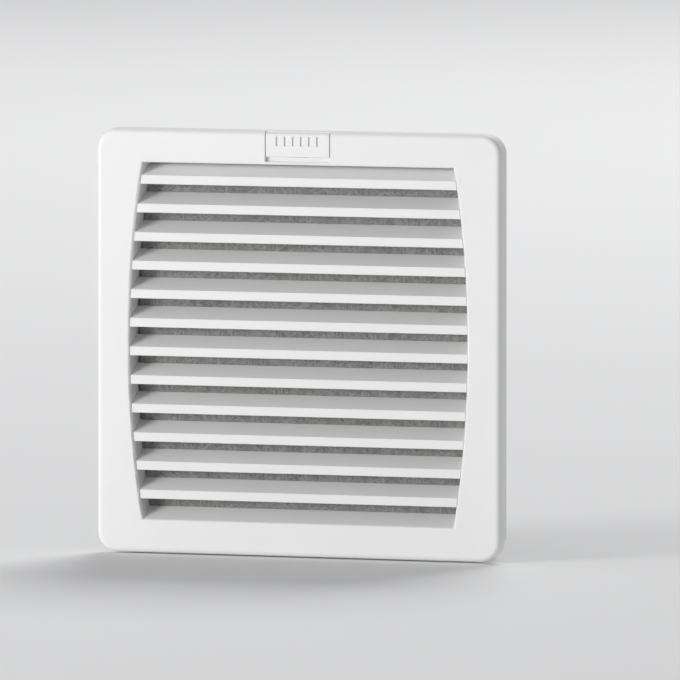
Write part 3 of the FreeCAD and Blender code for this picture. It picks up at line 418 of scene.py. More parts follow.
def bridge(shape: Shape, first: Points, second: Points) -> list[bmesh.types.BMFace]:
    """Joins two closed loops of as many points with a band of faces.

    Args:
        shape: the shape that holds the points.
        first: one loop.
        second: the other loop.

    Returns:
        The new faces.
    """
    faces = []
    for index in range(len(first)):
        after = (index + 1) % len(first)
        faces.append(shape.faces.new((first[index], first[after], second[after], second[index])))
    return faces


def to_mesh(shape: Shape, name: str, scale: float = 1.0) -> Mesh:
    """Writes a shape to a mesh and frees it.

    Args:
        shape: the shape.
        name: the mesh's name.
        scale: a factor on all lengths.

    Returns:
        The mesh.
    """
    bmesh.ops.scale(shape, vec=(scale, scale, scale), verts=shape.verts)
    mesh = bpy.data.meshes.new(name)
    shape.to_mesh(mesh)
    shape.free()
    return mesh


def clean(mesh: Mesh) -> Mesh:
    """Merges points that nearly meet and drops faces without area.

    Args:
        mesh: a cut mesh in millimetres.

    Returns:
        The same mesh.
    """
    shape = bmesh.new()
    shape.from_mesh(mesh)
    bmesh.ops.remove_doubles(shape, verts=shape.verts, dist=MERGE_MM)
    bmesh.ops.triangulate(shape, faces=shape.faces)
    bmesh.ops.dissolve_degenerate(shape, edges=shape.edges, dist=MERGE_MM)
    shape.to_mesh(mesh)
    shape.free()
    return mesh


def combine(shape: Mesh, tool: Mesh, operation: str) -> Mesh:
    """Cuts one closed mesh with another, both in millimetres.

    Args:
        shape: the mesh that is cut.
        tool: the cutter.
        operation: DIFFERENCE or INTERSECT.

    Returns:
        The result.
    """
    body = new_object("blank", shape)
    cutter = new_object("cutter", tool)
    modifier = body.modifiers.new("cut", "BOOLEAN")
    modifier.operation = operation
    modifier.object = cutter
    modifier.solver = "EXACT"
    mesh = finished_mesh(body)
    bpy.data.objects.remove(cutter)
    return clean(mesh)


def smooth(mesh: Mesh, angle_deg: float = SHARP_DEG) -> Mesh:
    """Shades a mesh smooth and keeps edges above an angle sharp.

    Args:
        mesh: the mesh.
        angle_deg: the angle from which an edge stays sharp.

    Returns:
        The same mesh.
    """
    mesh.shade_smooth()
    mesh.set_sharp_from_angle(angle=math.radians(angle_deg))
    return mesh


def add_piece(name: str, mesh: Mesh, body: str, nodes: tuple[str, ...]) -> Object:
    """Puts a finished piece in the scene in place of CAD nodes.

    Args:
        name: the piece's name.
        mesh: its mesh, in place and dressed.
        body: the body that it rides on.
        nodes: the nodes that it stands for.

    Returns:
        The piece.
    """
    piece = new_object(name, mesh)
    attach(piece, body)
    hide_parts(*nodes)
    LOG.info("%s: %d faces on %s", name, len(mesh.polygons), body)
    return piece


@cache
def material_of(finish: Finish) -> Material:
    """Gives a finish's material, made on first use.

    Args:
        finish: the finish.

    Returns:
        The material.
    """
    return finish.build()


def dress(finish: Finish, *nodes: str) -> None:
    """Puts a finish on CAD nodes.

    Args:
        finish: the finish.
        nodes: the nodes' names.
    """
    for name in nodes:
        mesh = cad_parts[name].data
        mesh.materials.clear()
        mesh.materials.append(material_of(finish))
        LOG.info("%s: %s", name, finish.name)


@dataclass
class FilterMat:
    """The fleece slab in the cover, pressed by the retainer's bars."""

    side_mm: float = 208.2
    front_mm: float = 2.7
    rear_mm: float = 15.5
    edge_mm: float = 1.6
    cell_edges_mm: tuple[float, ...] = (-98.8, -52.4, 0.0, 52.4, 98.8)
    bulge_mm: float = 1.5
    bulge_power: float = 0.5
    sharp_deg: float = 60.0
    steps: int = 60
    fibre_density: float = 88000.0
    fibre_length_mm: float = 7.0
    # Coarser than real fibres, so that they show.
    fibre_radius_mm: float = 0.07
    fibre_scales: tuple[float, float] = (0.5, 1.3)
    # Where a fibre's middle lies along, aside of and above its ends, as shares of its length.
    fibre_bow: tuple[float, float, float] = (0.5, 0.3, 0.05)
    fibre_steps: int = 3
    fibre_sides: int = 3
    seed: int = 7

    def bulge(self, place: float) -> float:
        """Gives how far the fleece stands out between two bars.

        Args:
            place: a place along X or Z in millimetres.

        Returns:
            A share from 0 to 1.
        """
        for low, high in zip(self.cell_edges_mm, self.cell_edges_mm[1:]):
            if low < place < high:
                return math.sin(math.pi * (place - low) / (high - low)) ** self.bulge_power
        return 0.0

    def depth(self, across: float, up: float, side: int) -> float:
        """Gives the depth of one point of a sheet.

        Args:
            across: the point's place along X in millimetres.
            up: its place along Z in millimetres.
            side: -1 for the front sheet, 1 for the rear sheet.

        Returns:
            The depth in millimetres.
        """
        level = self.rear_mm if side > 0 else self.front_mm
        if max(abs(across), abs(up)) >= self.side_mm / 2:
            return level - side * self.edge_mm
        if side < 0:
            return level
        return level + self.bulge_mm * self.bulge(across) * self.bulge(up)

    def sheet(self, shape: Shape, side: int) -> Points:
        """Adds the slab's front or rear sheet.

        Args:
            shape: the shape that takes the sheet.
            side: -1 for the front sheet, 1 for the rear sheet.

        Returns:
            The sheet's border points in order.
        """
        half = self.side_mm / 2
        places = [half * (2 * step / self.steps - 1) for step in range(self.steps + 1)]
        rows = []
        for up in places:
            points = [(across * MM, self.depth(across, up, side) * MM, up * MM) for across in places]
            rows.append([shape.verts.new(point) for point in points])
        for below, above in zip(rows, rows[1:]):
            for index in range(self.steps):
                shape.faces.new((below[index], below[index + 1], above[index + 1], above[index]))
        right = [row[-1] for row in rows[1:-1]]
        left = [row[0] for row in rows[1:-1]]
        return rows[0] + right + rows[-1][::-1] + left[::-1]

    def slab(self) -> Mesh:
        """Makes the slab with soft edges and pillows between the bars.

        Returns:
            The slab's mesh.
        """
        shape = bmesh.new()
        front = self.sheet(shape, -1)
        rear = self.sheet(shape, 1)
        bridge(shape, rear, front)
        bmesh.ops.recalc_face_normals(shape, faces=shape.faces)
        return smooth(to_mesh(shape, "fleece_slab"), self.sharp_deg)

    def fibre(self, tree: Tree, length: Socket, radius: Socket) -> Socket:
        """Adds the nodes of one bowed fibre that starts at the origin.

        Args:
            tree: the geometry tree.
            length: the fibre's length.
            radius: its radius.

        Returns:
            The fibre's geometry.
        """
        ends = add_node(tree, "ShaderNodeCombineXYZ", {"X": length})
        bow = {0: self.fibre_bow, "Scale": length}
        middle = add_node(tree, "ShaderNodeVectorMath", bow, operation="SCALE")
        bend = {"Resolution": self.fibre_steps, "Start": (0, 0, 0), "Middle": middle, "End": ends}
        line = add_node(tree, "GeometryNodeCurveQuadraticBezier", bend)
        ring = {"Resolution": self.fibre_sides, "Radius": radius}
        outline = add_node(tree, "GeometryNodeCurvePrimitiveCircle", ring)
        tube = {"Curve": line, "Profile Curve": outline, "Fill Caps": True}
        return add_node(tree, "GeometryNodeCurveToMesh", tube).outputs[0]

    @staticmethod
    def within(tree: Tree, reach: Socket) -> Socket:
        """Adds the nodes that pick the faces away from the slab's border.

        Args:
            tree: the geometry tree.
            reach: how far from the middle a picked face may lie.

        Returns:
            The selection.
        """
        place = add_node(tree, "GeometryNodeInputPosition")
        spread = add_node(tree, "ShaderNodeVectorMath", {0: place}, operation="ABSOLUTE")
        parts = add_node(tree, "ShaderNodeSeparateXYZ", {0: spread}).outputs
        widest = add_node(tree, "ShaderNodeMath", {0: parts["X"], 1: parts["Z"]}, operation="MAXIMUM")
        limits = {0: widest, 1: reach}
        return add_node(tree, "ShaderNodeMath", limits, operation="LESS_THAN").outputs[0]

    def tree(self, values: dict[str, Any]) -> Tree:
        """Builds the tree that lays loose fibres on the slab.

        Args:
            values: the tree's inputs by name.

        Returns:
            The geometry tree.
        """
        tree, given = new_tree("loose_fibres", values)
        points = add_node(tree, "GeometryNodeDistributePointsOnFaces", {
            "Mesh": given["Geometry"],
            "Selection": self.within(tree, given["Reach"]),
            "Density": given["Density"],
            "Seed": given["Seed"],
        })
        # A Random Value node takes its lowest and highest value at 2 and 3.
        turns = {2: 0.0, 3: 2 * math.pi, "Seed": given["Seed"]}
        spin = add_node(tree, "FunctionNodeRandomValue", turns).outputs[1]
        about = add_node(tree, "ShaderNodeCombineXYZ", {"Z": spin})
        faced = {0: points.outputs["Rotation"], 1: about}
        turned = add_node(tree, "FunctionNodeRotateRotation", faced, rotation_space="LOCAL")
        scales = {2: self.fibre_scales[0], 3: self.fibre_scales[1], "Seed": given["Seed"]}
        scale = add_node(tree, "FunctionNodeRandomValue", scales).outputs[1]
        laid = add_node(tree, "GeometryNodeInstanceOnPoints", {
            "Points": points,
            "Instance": self.fibre(tree, given["Length"], given["Radius"]),
            "Rotation": turned,
            "Scale": scale,
        }).outputs[0]
        both = add_node(tree, "GeometryNodeJoinGeometry")
        tree.links.new(laid, both.inputs[0])
        tree.links.new(given["Geometry"], both.inputs[0])
        end_tree(tree, both, given["Finish"])
        return tree

    def build(self) -> None:
        """Builds the fleece and puts it in the cover."""
        # No fibre starts on a face so near the border that it could reach past the mat.
        margin_mm = self.fibre_length_mm * self.fibre_scales[1] + self.side_mm / self.steps
        values = {
            "Density": self.fibre_density,
            "Length": self.fibre_length_mm * MM,
            "Radius": self.fibre_radius_mm * MM,
            "Reach": (self.side_mm / 2 - margin_mm) * MM,
            "Seed": self.seed,
            # The fleece's finish carries painted shade: its greys are darkened to stand for the shade between
            # the louvre slats.
            "Finish": material_of(SHADE_DARKENED_FLEECE),
        }
        mesh = run_tree("filter_fleece", self.tree(values), values, self.slab())
        piece = add_piece("filter_fleece", mesh, "grille", ("filter_mat",))


@dataclass
class Cover:
    """The hinged cover: louvre, latch, pins, mat and retainer."""

    mat: FilterMat

    def build(self) -> None:
        """Dresses the cover and builds its fleece."""
        dress(COVER_ABS, "front_grille", "louvre_slats", "mat_collar", "latch_slider")
        dress(FRAME_ABS, "mat_retainer")
        dress(PIN_STEEL, "hinge_pins")
        self.mat.build()


@dataclass
class FlangeSeal:
    """The foam band in the flange's rear groove."""

    side_mm: float = 228.5
    corner_mm: float = 6.5
    width_mm: float = 3.0
    height_mm: float = 1.6
    round_mm: float = 0.5
    corner_steps: int = 10
    round_steps: int = 4

    def tree(self, values: dict[str, Any]) -> Tree:
        """Builds the tree that runs the band's section round the groove.

        Args:
            values: the tree's inputs by name.

        Returns:
            The geometry tree.
        """
        tree, given = new_tree("foam_band", values)
        square = {"Width": given["Side"], "Height": given["Side"]}
        path = add_node(tree, "GeometryNodeCurvePrimitiveQuadrilateral", square)
        corners = {"Curve": path, "Radius": given["Corner"], "Count": self.corner_steps}
        bent = add_node(tree, "GeometryNodeFilletCurve", corners, mode="POLY")
        strip = {"Width": given["Width"], "Height": given["Height"]}
        section = add_node(tree, "GeometryNodeCurvePrimitiveQuadrilateral", strip)
        edges = {"Curve": section, "Radius": given["Rounding"], "Count": self.round_steps}
        soft = add_node(tree, "GeometryNodeFilletCurve", edges, mode="POLY")
        upright = add_node(tree, "GeometryNodeSetCurveNormal", {"Curve": bent}, mode="Z_UP")
        band = add_node(tree, "GeometryNodeCurveToMesh", {"Curve": upright, "Profile Curve": soft})
        # The band's middle lies half its height in front of the panel.
        half = {0: (0.0, -0.5, 0.0), "Scale": given["Height"]}
        place = add_node(tree, "ShaderNodeVectorMath", half, operation="SCALE")
        stand = {"Geometry": band, "Translation": place, "Rotation": UPRIGHT}
        stood = add_node(tree, "GeometryNodeTransform", stand)
        end_tree(tree, stood, given["Finish"])
        return tree

    def build(self) -> None:
        """Builds the band and puts it in the groove."""
        values = {
            "Side": self.side_mm * MM,
            "Corner": self.corner_mm * MM,
            "Width": self.width_mm * MM,
            "Height": self.height_mm * MM,
            "Rounding": self.round_mm * MM,
            "Finish": material_of(FOAM),
        }
        mesh = run_tree("foam_band", self.tree(values), values)
        piece = add_piece("foam_band", smooth(mesh), "base", ("flange_seal",))


@dataclass
class Tray:
    """The mounting tray with its seal, clips and inlet guard."""

    seal: FlangeSeal

    def build(self) -> None:
        """Dresses the tray and builds its seal."""
        dress(FRAME_ABS, "mounting_frame", "fan_tray", "clip_seats", "tray_ribs", "inlet_guard")
        corners = [f"panel_clip_{side}_{level}" for side in ("right", "left") for level in ("upper", "lower")]
        dress(CLIP_PA, *corners)
        dress(PIN_STEEL, "clip_pins")
        self.seal.build()


@dataclass
class Screw:
    """A pan-head screw with a cross recess and a thread; its seat is at depth 0."""

    radius_mm: float
    head_mm: float
    head_height_mm: float
    length_mm: float
    pitch_mm: float = 0.7
    segments: int = 40
    # Shares of the head's height, the dome's roundness, and shares of the head's radius.
    rim_share: float = 0.45
    dome_power: float = 0.8
    dome_steps: int = 6
    recess_floor_share: float = 0.4
    recess_reach_shares: tuple[float, float] = (0.32, 0.58)
    recess_over_mm: float = 0.1
    # Shares of the shank's radius.
    recess_half_share: float = 0.21
    root_share: float = 0.84
    point_share: float = 0.75
    point_mm: float = 0.4
    plain_mm: float = 1.2
    overlap_mm: float = 0.05
    # Where a turn's crest and far foot lie, as shares of the pitch.
    crest_share: float = 0.4
    foot_share: float = 0.8

    def head(self) -> Mesh:
        """Makes the domed head with its cross recess, in millimetres.

        Returns:
            The head's mesh.
        """
        rim = self.head_height_mm * self.rim_share
        dome = self.head_height_mm - rim
        profile = [(0.0, 0.0), (self.head_mm, 0.0), (self.head_mm, rim)]
        for step in range(1, self.dome_steps):
            angle = math.pi / 2 * step / self.dome_steps
            radius = self.head_mm * math.cos(angle) ** self.dome_power
            profile.append((radius, rim + dome * math.sin(angle)))
        profile.append((0.0, self.head_height_mm))
        blank = to_mesh(revolve(profile, self.segments, False), "screw_head")
        return combine(blank, self.cross(), "DIFFERENCE")

    def cross(self) -> Mesh:
        """Makes the cutter of the cross recess, narrower towards its floor, in millimetres.

        Returns:
            The cutter's mesh.
        """
        shape = bmesh.new()
        half = self.radius_mm * self.recess_half_share
        levels = (self.head_height_mm * self.recess_floor_share, self.head_height_mm + self.recess_over_mm)
        loops = []
        for share, level in zip(self.recess_reach_shares, levels):
            reach = self.head_mm * share
            arm = ((reach, -half), (reach, half), (half, half))
            points = []
            for quarter in range(4):
                turn = Matrix.Rotation(math.pi / 2 * quarter, 2)
                points += [turn @ Vector(point) for point in arm]
            loops.append([shape.verts.new((point.x, level, point.y)) for point in points])
        for loop in loops:
            # Each end is a square with four arms.
            shape.faces.new(loop[2::3])
            for quarter in range(4):
                shape.faces.new([loop[3 * quarter + step] for step in (-1, 0, 1, 2)])
        bridge(shape, *loops)
        bmesh.ops.recalc_face_normals(shape, faces=shape.faces)
        return to_mesh(shape, "cross_recess")

    def shank(self) -> Shape:
        """Makes the shank with its helical thread, in millimetres.

        Returns:
            The shank, running from depth 0 to minus its length.
        """
        root = self.radius_mm * self.root_share
        tip = -self.length_mm
        start = tip + self.point_mm
        core = [(0.0, self.overlap_mm), (root, self.overlap_mm), (root, start),
                (root * self.point_share, tip), (0.0, tip)]
        steps = self.segments // 2
        shape = revolve(core, steps, False)
        turns = int((self.length_mm - self.plain_mm) / self.pitch_mm)
        foot = root - self.overlap_mm
        ridge = []
        for step in range(turns * steps + 1):
            angle = 2 * math.pi * step / steps
            level = start + self.pitch_mm * step / steps
            section = ((foot, level), (self.radius_mm, level + self.pitch_mm * self.crest_share),
                       (foot, level + self.pitch_mm * self.foot_share))
            ridge.append([shape.verts.new((r * math.cos(angle), y, r * math.sin(angle))) for r, y in section])
        added = [shape.faces.new(ridge[0]), shape.faces.new(ridge[-1])]
        for first, second in zip(ridge, ridge[1:]):
            added += bridge(shape, first, second)
        bmesh.ops.recalc_face_normals(shape, faces=added)
        return shape

    def mesh(self) -> Mesh:
        """Joins head and shank.

        Returns:
            The screw's mesh in metres.
        """
        shape = self.shank()
        shape.from_mesh(self.head())
        return smooth(to_mesh(shape, "pan_screw", MM))


@dataclass
class Nut:
    """A hexagon nut with chamfered corners; it stands on depth 0."""

    flats_mm: float = 7.0
    height_mm: float = 3.2
    bore_mm: float = 1.75
    chamfer_mm: float = 0.45
    # The flat face's radius as a share of the width across flats.
    face_share: float = 0.47
    spare_mm: float = 0.02
    lip_mm: float = 0.35
    over_mm: float = 1.0
    sides: int = 6
    chamfer_segments: int = 48
    bore_segments: int = 32

    def mesh(self) -> Mesh:
        """Makes the nut.

        Returns:
            The nut's mesh in metres.
        """
        corner = self.flats_mm / math.sqrt(3)
        top, over = self.height_mm, self.over_mm
        prism = [(0, 0), (corner, 0), (corner, top), (0, top)]
        blank = to_mesh(revolve(prism, self.sides, False), "hex")
        face, wide = self.flats_mm * self.face_share, corner + self.spare_mm
        cone = [(0, 0), (face, 0), (wide, self.chamfer_mm), (wide, top - self.chamfer_mm),
                (face, top), (0, top)]
        chamfer = to_mesh(revolve(cone, self.chamfer_segments, False), "chamfer")
        turned = combine(blank, chamfer, "INTERSECT")
        bore, mouth = self.bore_mm, self.bore_mm + self.lip_mm + over
        hole = [(0, -over), (mouth, -over), (bore, self.lip_mm), (bore, top - self.lip_mm),
                (mouth, top + over), (0, top + over)]
        drill = to_mesh(revolve(hole, self.bore_segments, False), "drill")
        bored = combine(turned, drill, "DIFFERENCE")
        shape = bmesh.new()
        shape.from_mesh(bored)
        return smooth(to_mesh(shape, "hex_nut", MM), TURNED_DEG)


@dataclass
class FastenerSet:
    """Copies of one fastener on the corners of a rectangle in the XZ plane."""

    name: str
    node: str
    mesh: Mesh
    place_mm: tuple[float, float, float]
    spread_mm: tuple[float, float]
    counts: tuple[int, int] = (2, 2)
    # True where the fastener's depth runs towards the front.
    backwards: bool = False

    @staticmethod
    def tree(values: dict[str, Any]) -> Tree:
        """Builds the tree that sets the copies.

        Args:
            values: the tree's inputs by name.

        Returns:
            The geometry tree.
        """
        tree, given = new_tree("fastener_set", values)
        corners = {"Size X": given["Spread X"], "Size Y": given["Spread Z"],
                   "Vertices X": given["Count X"], "Vertices Y": given["Count Z"]}
        grid = add_node(tree, "GeometryNodeMeshGrid", corners)
        stand = {"Geometry": grid, "Translation": given["Place"], "Rotation": UPRIGHT}
        stood = add_node(tree, "GeometryNodeTransform", stand)
        part = add_node(tree, "GeometryNodeObjectInfo", {"Object": given["Part"]}).outputs["Geometry"]
        copies = {"Points": stood, "Instance": part, "Rotation": given["Turn"]}
        made = add_node(tree, "GeometryNodeInstanceOnPoints", copies)
        end_tree(tree, made, given["Finish"])
        return tree

    def build(self) -> None:
        """Builds the set in place of its CAD node."""
        template = new_object(self.name + "_template", self.mesh)
        values = {
            "Part": template,
            "Spread X": self.spread_mm[0] * MM,
            "Spread Z": self.spread_mm[1] * MM,
            "Count X": self.counts[0],
            "Count Z": self.counts[1],
            "Place": tuple(value * MM for value in self.place_mm),
            "Turn": (math.pi if self.backwards else 0.0, 0.0, 0.0),
            "Finish": material_of(ZINC),
        }
        made = run_tree(self.name, self.tree(values), values)
        bpy.data.objects.remove(template)
        add_piece(self.name, made, "base", (self.node,))


@dataclass
class Bearing:
    """A shielded ball bearing, turned from one closed profile."""

    outer_mm: float = 11.0
    bore_mm: float = 4.04
    width_mm: float = 7.0
    shield_outer_mm: float = 9.3
    shield_inner_mm: float = 6.1
    shield_depth_mm: float = 0.5
    crimp_width_mm: float = 0.5
    crimp_depth_mm: float = 0.3
    gap_width_mm: float = 0.3
    gap_depth_mm: float = 0.6
    round_mm: float = 0.4
    segments: int = 48

    def mesh(self, start_mm: float) -> Mesh:
        """Makes the bearing.

        Args:
            start_mm: the depth at which it begins.

        Returns:
            The bearing's mesh in metres.
        """
        high, lip, deep = self.width_mm, self.round_mm, self.shield_depth_mm
        wide, far, near, bore = self.outer_mm, self.shield_outer_mm, self.shield_inner_mm, self.bore_mm
        crimp, gap = self.crimp_width_mm, deep + self.gap_depth_mm
        # Outer ring, shield, the gap inside it, and inner ring.
        half = [
            (wide, high / 2), (wide, lip), (wide - lip, 0.0), (far, 0.0),
            (far, deep), (far - crimp, deep + self.crimp_depth_mm), (near + crimp, deep),
            (near + self.gap_width_mm, gap), (near, gap),
            (near, 0.0), (bore + lip, 0.0), (bore, lip), (bore, high / 2),
        ]
        mirrored = [(radius, high - depth) for radius, depth in half[::-1]][1:-1]
        profile = [(radius, depth + start_mm) for radius, depth in half + mirrored]
        return smooth(to_mesh(revolve(profile, self.segments, True), "ball_bearing", MM), TURNED_DEG)


@dataclass
class Winding:
    """The stator's tooth coils, wound in layers and set round the shaft."""

    teeth: int = 12
    inner_mm: float = 21.0
    layers: int = 12
    layer_step_mm: float = 1.0
    wire_mm: float = 0.45
    front_mm: float = 47.4
    rear_mm: float = 74.6
    side_gap_mm: float = 1.3
    corner_mm: float = 3.0
    corner_points: int = 4
    wire_sides: int = 4
    sharp_deg: float = 80.0

    def track(self, half: float, reach: float) -> list[tuple[float, float, float]]:
        """Lays out one turn as a rectangle with round corners.

        Args:
            half: half the turn's width in millimetres.
            reach: half its depth in millimetres.

        Returns:
            Points as width, depth and the angle at which the outside lies.
        """
        corner = min(half, self.corner_mm)
        points = []
        for turn, (right, deep) in enumerate(((1, 1), (-1, 1), (-1, -1), (1, -1))):
            for step in range(self.corner_points):
                angle = math.pi / 2 * (turn + step / (self.corner_points - 1))
                points.append((right * (half - corner) + corner * math.cos(angle),
                               deep * (reach - corner) + corner * math.sin(angle), angle))
        return points

    def coil(self) -> Mesh:
        """Makes one tooth's coil of racetrack turns, in metres.

        Returns:
            The coil's mesh.
        """
        shape = bmesh.new()
        middle = (self.front_mm + self.rear_mm) / 2
        reach = (self.rear_mm - self.front_mm) / 2
        for layer in range(self.layers):
            radius = self.inner_mm + layer * self.layer_step_mm
            half = radius * math.tan(math.pi / self.teeth) - self.side_gap_mm
            loops = []
            for across, depth, angle in self.track(half, reach):
                loop = []
                for side in range(self.wire_sides):
                    around = 2 * math.pi * side / self.wire_sides
                    out = self.wire_mm * math.cos(around)
                    loop.append(shape.verts.new((
                        (across + out * math.cos(angle)) * MM,
                        (middle + depth + out * math.sin(angle)) * MM,
                        (radius + self.wire_mm * math.sin(around)) * MM,
                    )))
                loops.append(loop)
            for loop, after in zip(loops, loops[1:] + loops[:1]):
                bridge(shape, loop, after)
        bmesh.ops.recalc_face_normals(shape, faces=shape.faces)
        return smooth(to_mesh(shape, "tooth_coil"), self.sharp_deg)

    @staticmethod
    def tree(values: dict[str, Any]) -> Tree:
        """Builds the tree that sets the coils round the shaft.

        Args:
            values: the tree's inputs by name.

        Returns:
            The geometry tree.
        """
        tree, given = new_tree("coil_ring", values)
        points = add_node(tree, "GeometryNodePoints", {"Count": given["Teeth"]})
        index = add_node(tree, "GeometryNodeInputIndex")
        # The first coil lies half a step from straight up.
        half = add_node(tree, "ShaderNodeMath", {0: index, 1: 0.5}, operation="ADD")
        share = add_node(tree, "ShaderNodeMath", {0: half, 1: given["Teeth"]}, operation="DIVIDE")
        angle = add_node(tree, "ShaderNodeMath", {0: share, 1: 2 * math.pi}, operation="MULTIPLY")
        turn = add_node(tree, "ShaderNodeCombineXYZ", {"Y": angle})
        coil = add_node(tree, "GeometryNodeObjectInfo", {"Object": given["Coil"]}).outputs["Geometry"]
        copies = {"Points": points, "Instance": coil, "Rotation": turn}
        ring = add_node(tree, "GeometryNodeInstanceOnPoints", copies)
        end_tree(tree, ring, given["Finish"])
        return tree

    def build(self) -> None:
        """Builds the winding."""
        template = new_object("tooth_coil", self.coil())
        values = {"Coil": template, "Teeth": self.teeth, "Finish": material_of(COPPER)}
        mesh = run_tree("tooth_coils", self.tree(values), values)
        bpy.data.objects.remove(template)
        add_piece("tooth_coils", mesh, "base", ("stator_winding",))


@dataclass
class Fan:
    """The axial fan with its motor, wire guard and fasteners."""

    winding: Winding
    bearing: Bearing
    spread_mm: float = 114.551
    tray_rear_mm: float = 36.0
    tray_wall_front_mm: float = 34.0
    flange_mm: float = 4.0
    length_mm: float = 51.0
    wire_mm: float = 2.2
    bearing_starts_mm: tuple[float, float] = (48.0, 72.0)
    screw_radius_mm: float = 2.0
    head_radius_mm: float = 4.0
    head_height_mm: float = 2.6
    stick_out_mm: float = 1.0

    def build(self) -> None:
        """Dresses the fan and builds its fasteners, bearings and winding."""
        dress(CAST_BLACK, "fan_frame")
        dress(BLADE_PA, "impeller")
        dress(ROTOR_PAINT, "rotor_cup")
        dress(SHEETS, "stator_core", "rotor_cage", "shaft_circlip")
        dress(PIN_STEEL, "rotor_shaft")
        dress(CHROME_WIRE, "finger_guard")
        dress(CLIP_PA, "fan_connector")
        dress(TINNED, "fan_tabs")
        self.winding.build()
        for name, start in zip(("bearing_front", "bearing_rear"), self.bearing_starts_mm):
            mesh = self.bearing.mesh(start)
            mesh.materials.append(material_of(PIN_STEEL))
            add_piece("shielded_" + name, mesh, "base", (name,))
        self.fasteners()

    def fasteners(self) -> None:
        """Builds the two sets of screws and nuts on the fan's four holes."""
        rear = self.tray_rear_mm + self.length_mm
        nut = Nut()
        behind = self.flange_mm + nut.height_mm + self.stick_out_mm
        head = (self.screw_radius_mm, self.head_radius_mm, self.head_height_mm)
        front_screw = Screw(*head, self.tray_rear_mm - self.tray_wall_front_mm + behind).mesh()
        rear_screw = Screw(*head, self.wire_mm + behind).mesh()
        sets = (
            ("fan_pan_screws", "fan_screws", front_screw, self.tray_wall_front_mm, True),
            ("fan_hex_nuts", "fan_nuts", nut.mesh(), self.tray_rear_mm + self.flange_mm, False),
            ("guard_pan_screws", "guard_screws", rear_screw, rear + self.wire_mm, False),
            ("guard_hex_nuts", "guard_nuts", nut.mesh(), rear - self.flange_mm - nut.height_mm, False),
        )
        spread_mm = (self.spread_mm, self.spread_mm)
        for name, node, mesh, depth, backwards in sets:
            FastenerSet(name, node, mesh, (0.0, depth, 0.0), spread_mm, backwards=backwards).build()


@dataclass
class Terminal:
    """The mains terminal block with its buttons and fixing screws."""

    across_mm: float = 84.0
    level_mm: float = -95.0
    screw_spread_mm: float = 35.0
    seat_mm: float = 40.0
    screw_length_mm: float = 6.0
    screw_radius_mm: float = 1.5
    screw_pitch_mm: float = 0.6
    head_radius_mm: float = 2.3
    head_height_mm: float = 2.6

    def build(self) -> None:
        """Dresses the terminal block and builds its screws."""
        dress(TERMINAL_PA, "terminal_block")
        dress(BUTTON_PA, *(f"terminal_button_{place}" for place in ("left", "middle", "right")))
        screw = Screw(self.screw_radius_mm, self.head_radius_mm, self.head_height_mm, self.screw_length_mm,
                      pitch_mm=self.screw_pitch_mm)
        place_mm = (self.across_mm, self.seat_mm, self.level_mm)
        FastenerSet("terminal_pan_screws", "terminal_screws", screw.mesh(), place_mm,
                    (self.screw_spread_mm, 0.0), counts=(2, 1)).build()


@dataclass
class Lamp:
    """One soft studio lamp that points at the object."""

    name: str
    place: tuple[float, float, float]
    side: float
    watts: float


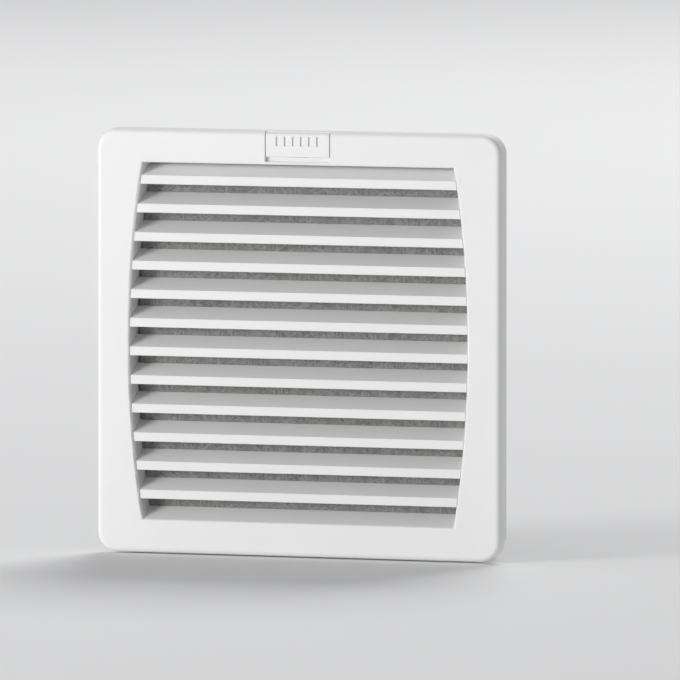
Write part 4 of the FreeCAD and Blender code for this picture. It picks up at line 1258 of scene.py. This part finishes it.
@dataclass
class Studio:
    """Floor, lamps, sky and camera."""

    azimuth_deg: float = 18.8
    elevation_deg: float = 4.15
    distance: float = 7.98
    view_width: float = 0.40
    aim: tuple[float, float, float] = (0.012, 0.03, 0.0)
    floor_level: float = -0.1257
    floor_side: float = 60.0
    sky: float = 0.34
    sky_colour: str = "#fbfcff"
    sensor_mm: float = 36.0
    far_clip: float = 200.0
    lamps: tuple[Lamp, ...] = (
        Lamp("front_left", (-2.6, -3.0, 0.3), 1.6, 127.0),
        Lamp("rear", (0.0, 5.6, 5.8), 4.0, 310.0),
    )

    def build(self) -> None:
        """Sets up floor, light and camera."""
        self.add_floor()
        self.add_sky()
        for lamp in self.lamps:
            self.add_lamp(lamp)
        self.add_camera()
        bpy.context.scene.view_settings.view_transform = "Standard"

    def add_floor(self) -> None:
        """Lays the floor under the object."""
        shape = bmesh.new()
        bmesh.ops.create_grid(shape, x_segments=2, y_segments=2, size=self.floor_side / 2)
        bmesh.ops.translate(shape, vec=(0, 0, self.floor_level), verts=shape.verts)
        mesh = to_mesh(shape, "floor")
        mesh.materials.append(material_of(FLOOR))
        new_object("floor", mesh)

    def add_sky(self) -> None:
        """Lights the scene from all round with a neutral sky."""
        world = bpy.data.worlds.new("studio")
        world.use_nodes = True
        bpy.context.scene.world = world
        tree = world.node_tree
        tree.nodes.clear()
        light = {"Color": linear(self.sky_colour), "Strength": self.sky}
        sky = add_node(tree, "ShaderNodeBackground", light)
        add_node(tree, "ShaderNodeOutputWorld", {"Surface": sky})

    @staticmethod
    def add_lamp(lamp: Lamp) -> None:
        """Hangs one lamp.

        Args:
            lamp: its place and power.
        """
        data = bpy.data.lights.new(lamp.name, "AREA")
        data.size = lamp.side
        data.energy = lamp.watts
        thing = bpy.data.objects.new(lamp.name, data)
        thing.location = lamp.place
        thing.rotation_euler = (-Vector(lamp.place)).to_track_quat("-Z", "Y").to_euler()
        bpy.context.scene.collection.objects.link(thing)

    def add_camera(self) -> None:
        """Sets the camera at the photograph's angle and distance, framed closer."""
        azimuth, elevation = math.radians(self.azimuth_deg), math.radians(self.elevation_deg)
        back = Vector((math.sin(azimuth) * math.cos(elevation),
                       -math.cos(azimuth) * math.cos(elevation),
                       math.sin(elevation)))
        data = bpy.data.cameras.new("camera")
        data.sensor_width = self.sensor_mm
        data.lens = self.sensor_mm * self.distance / self.view_width
        data.clip_end = self.far_clip
        camera = bpy.data.objects.new("camera", data)
        camera.location = Vector(self.aim) + back * self.distance
        camera.rotation_euler = (-back).to_track_quat("-Z", "Y").to_euler()
        bpy.context.scene.collection.objects.link(camera)
        bpy.context.scene.camera = camera


def main() -> None:
    """Builds every sub-assembly in order."""
    logging.basicConfig(level=logging.INFO, format="%(message)s")
    Studio().build()
    Cover(FilterMat()).build()
    Tray(FlangeSeal()).build()
    Fan(Winding(), Bearing()).build()
    Terminal().build()


if __name__ == "__main__":
    main()
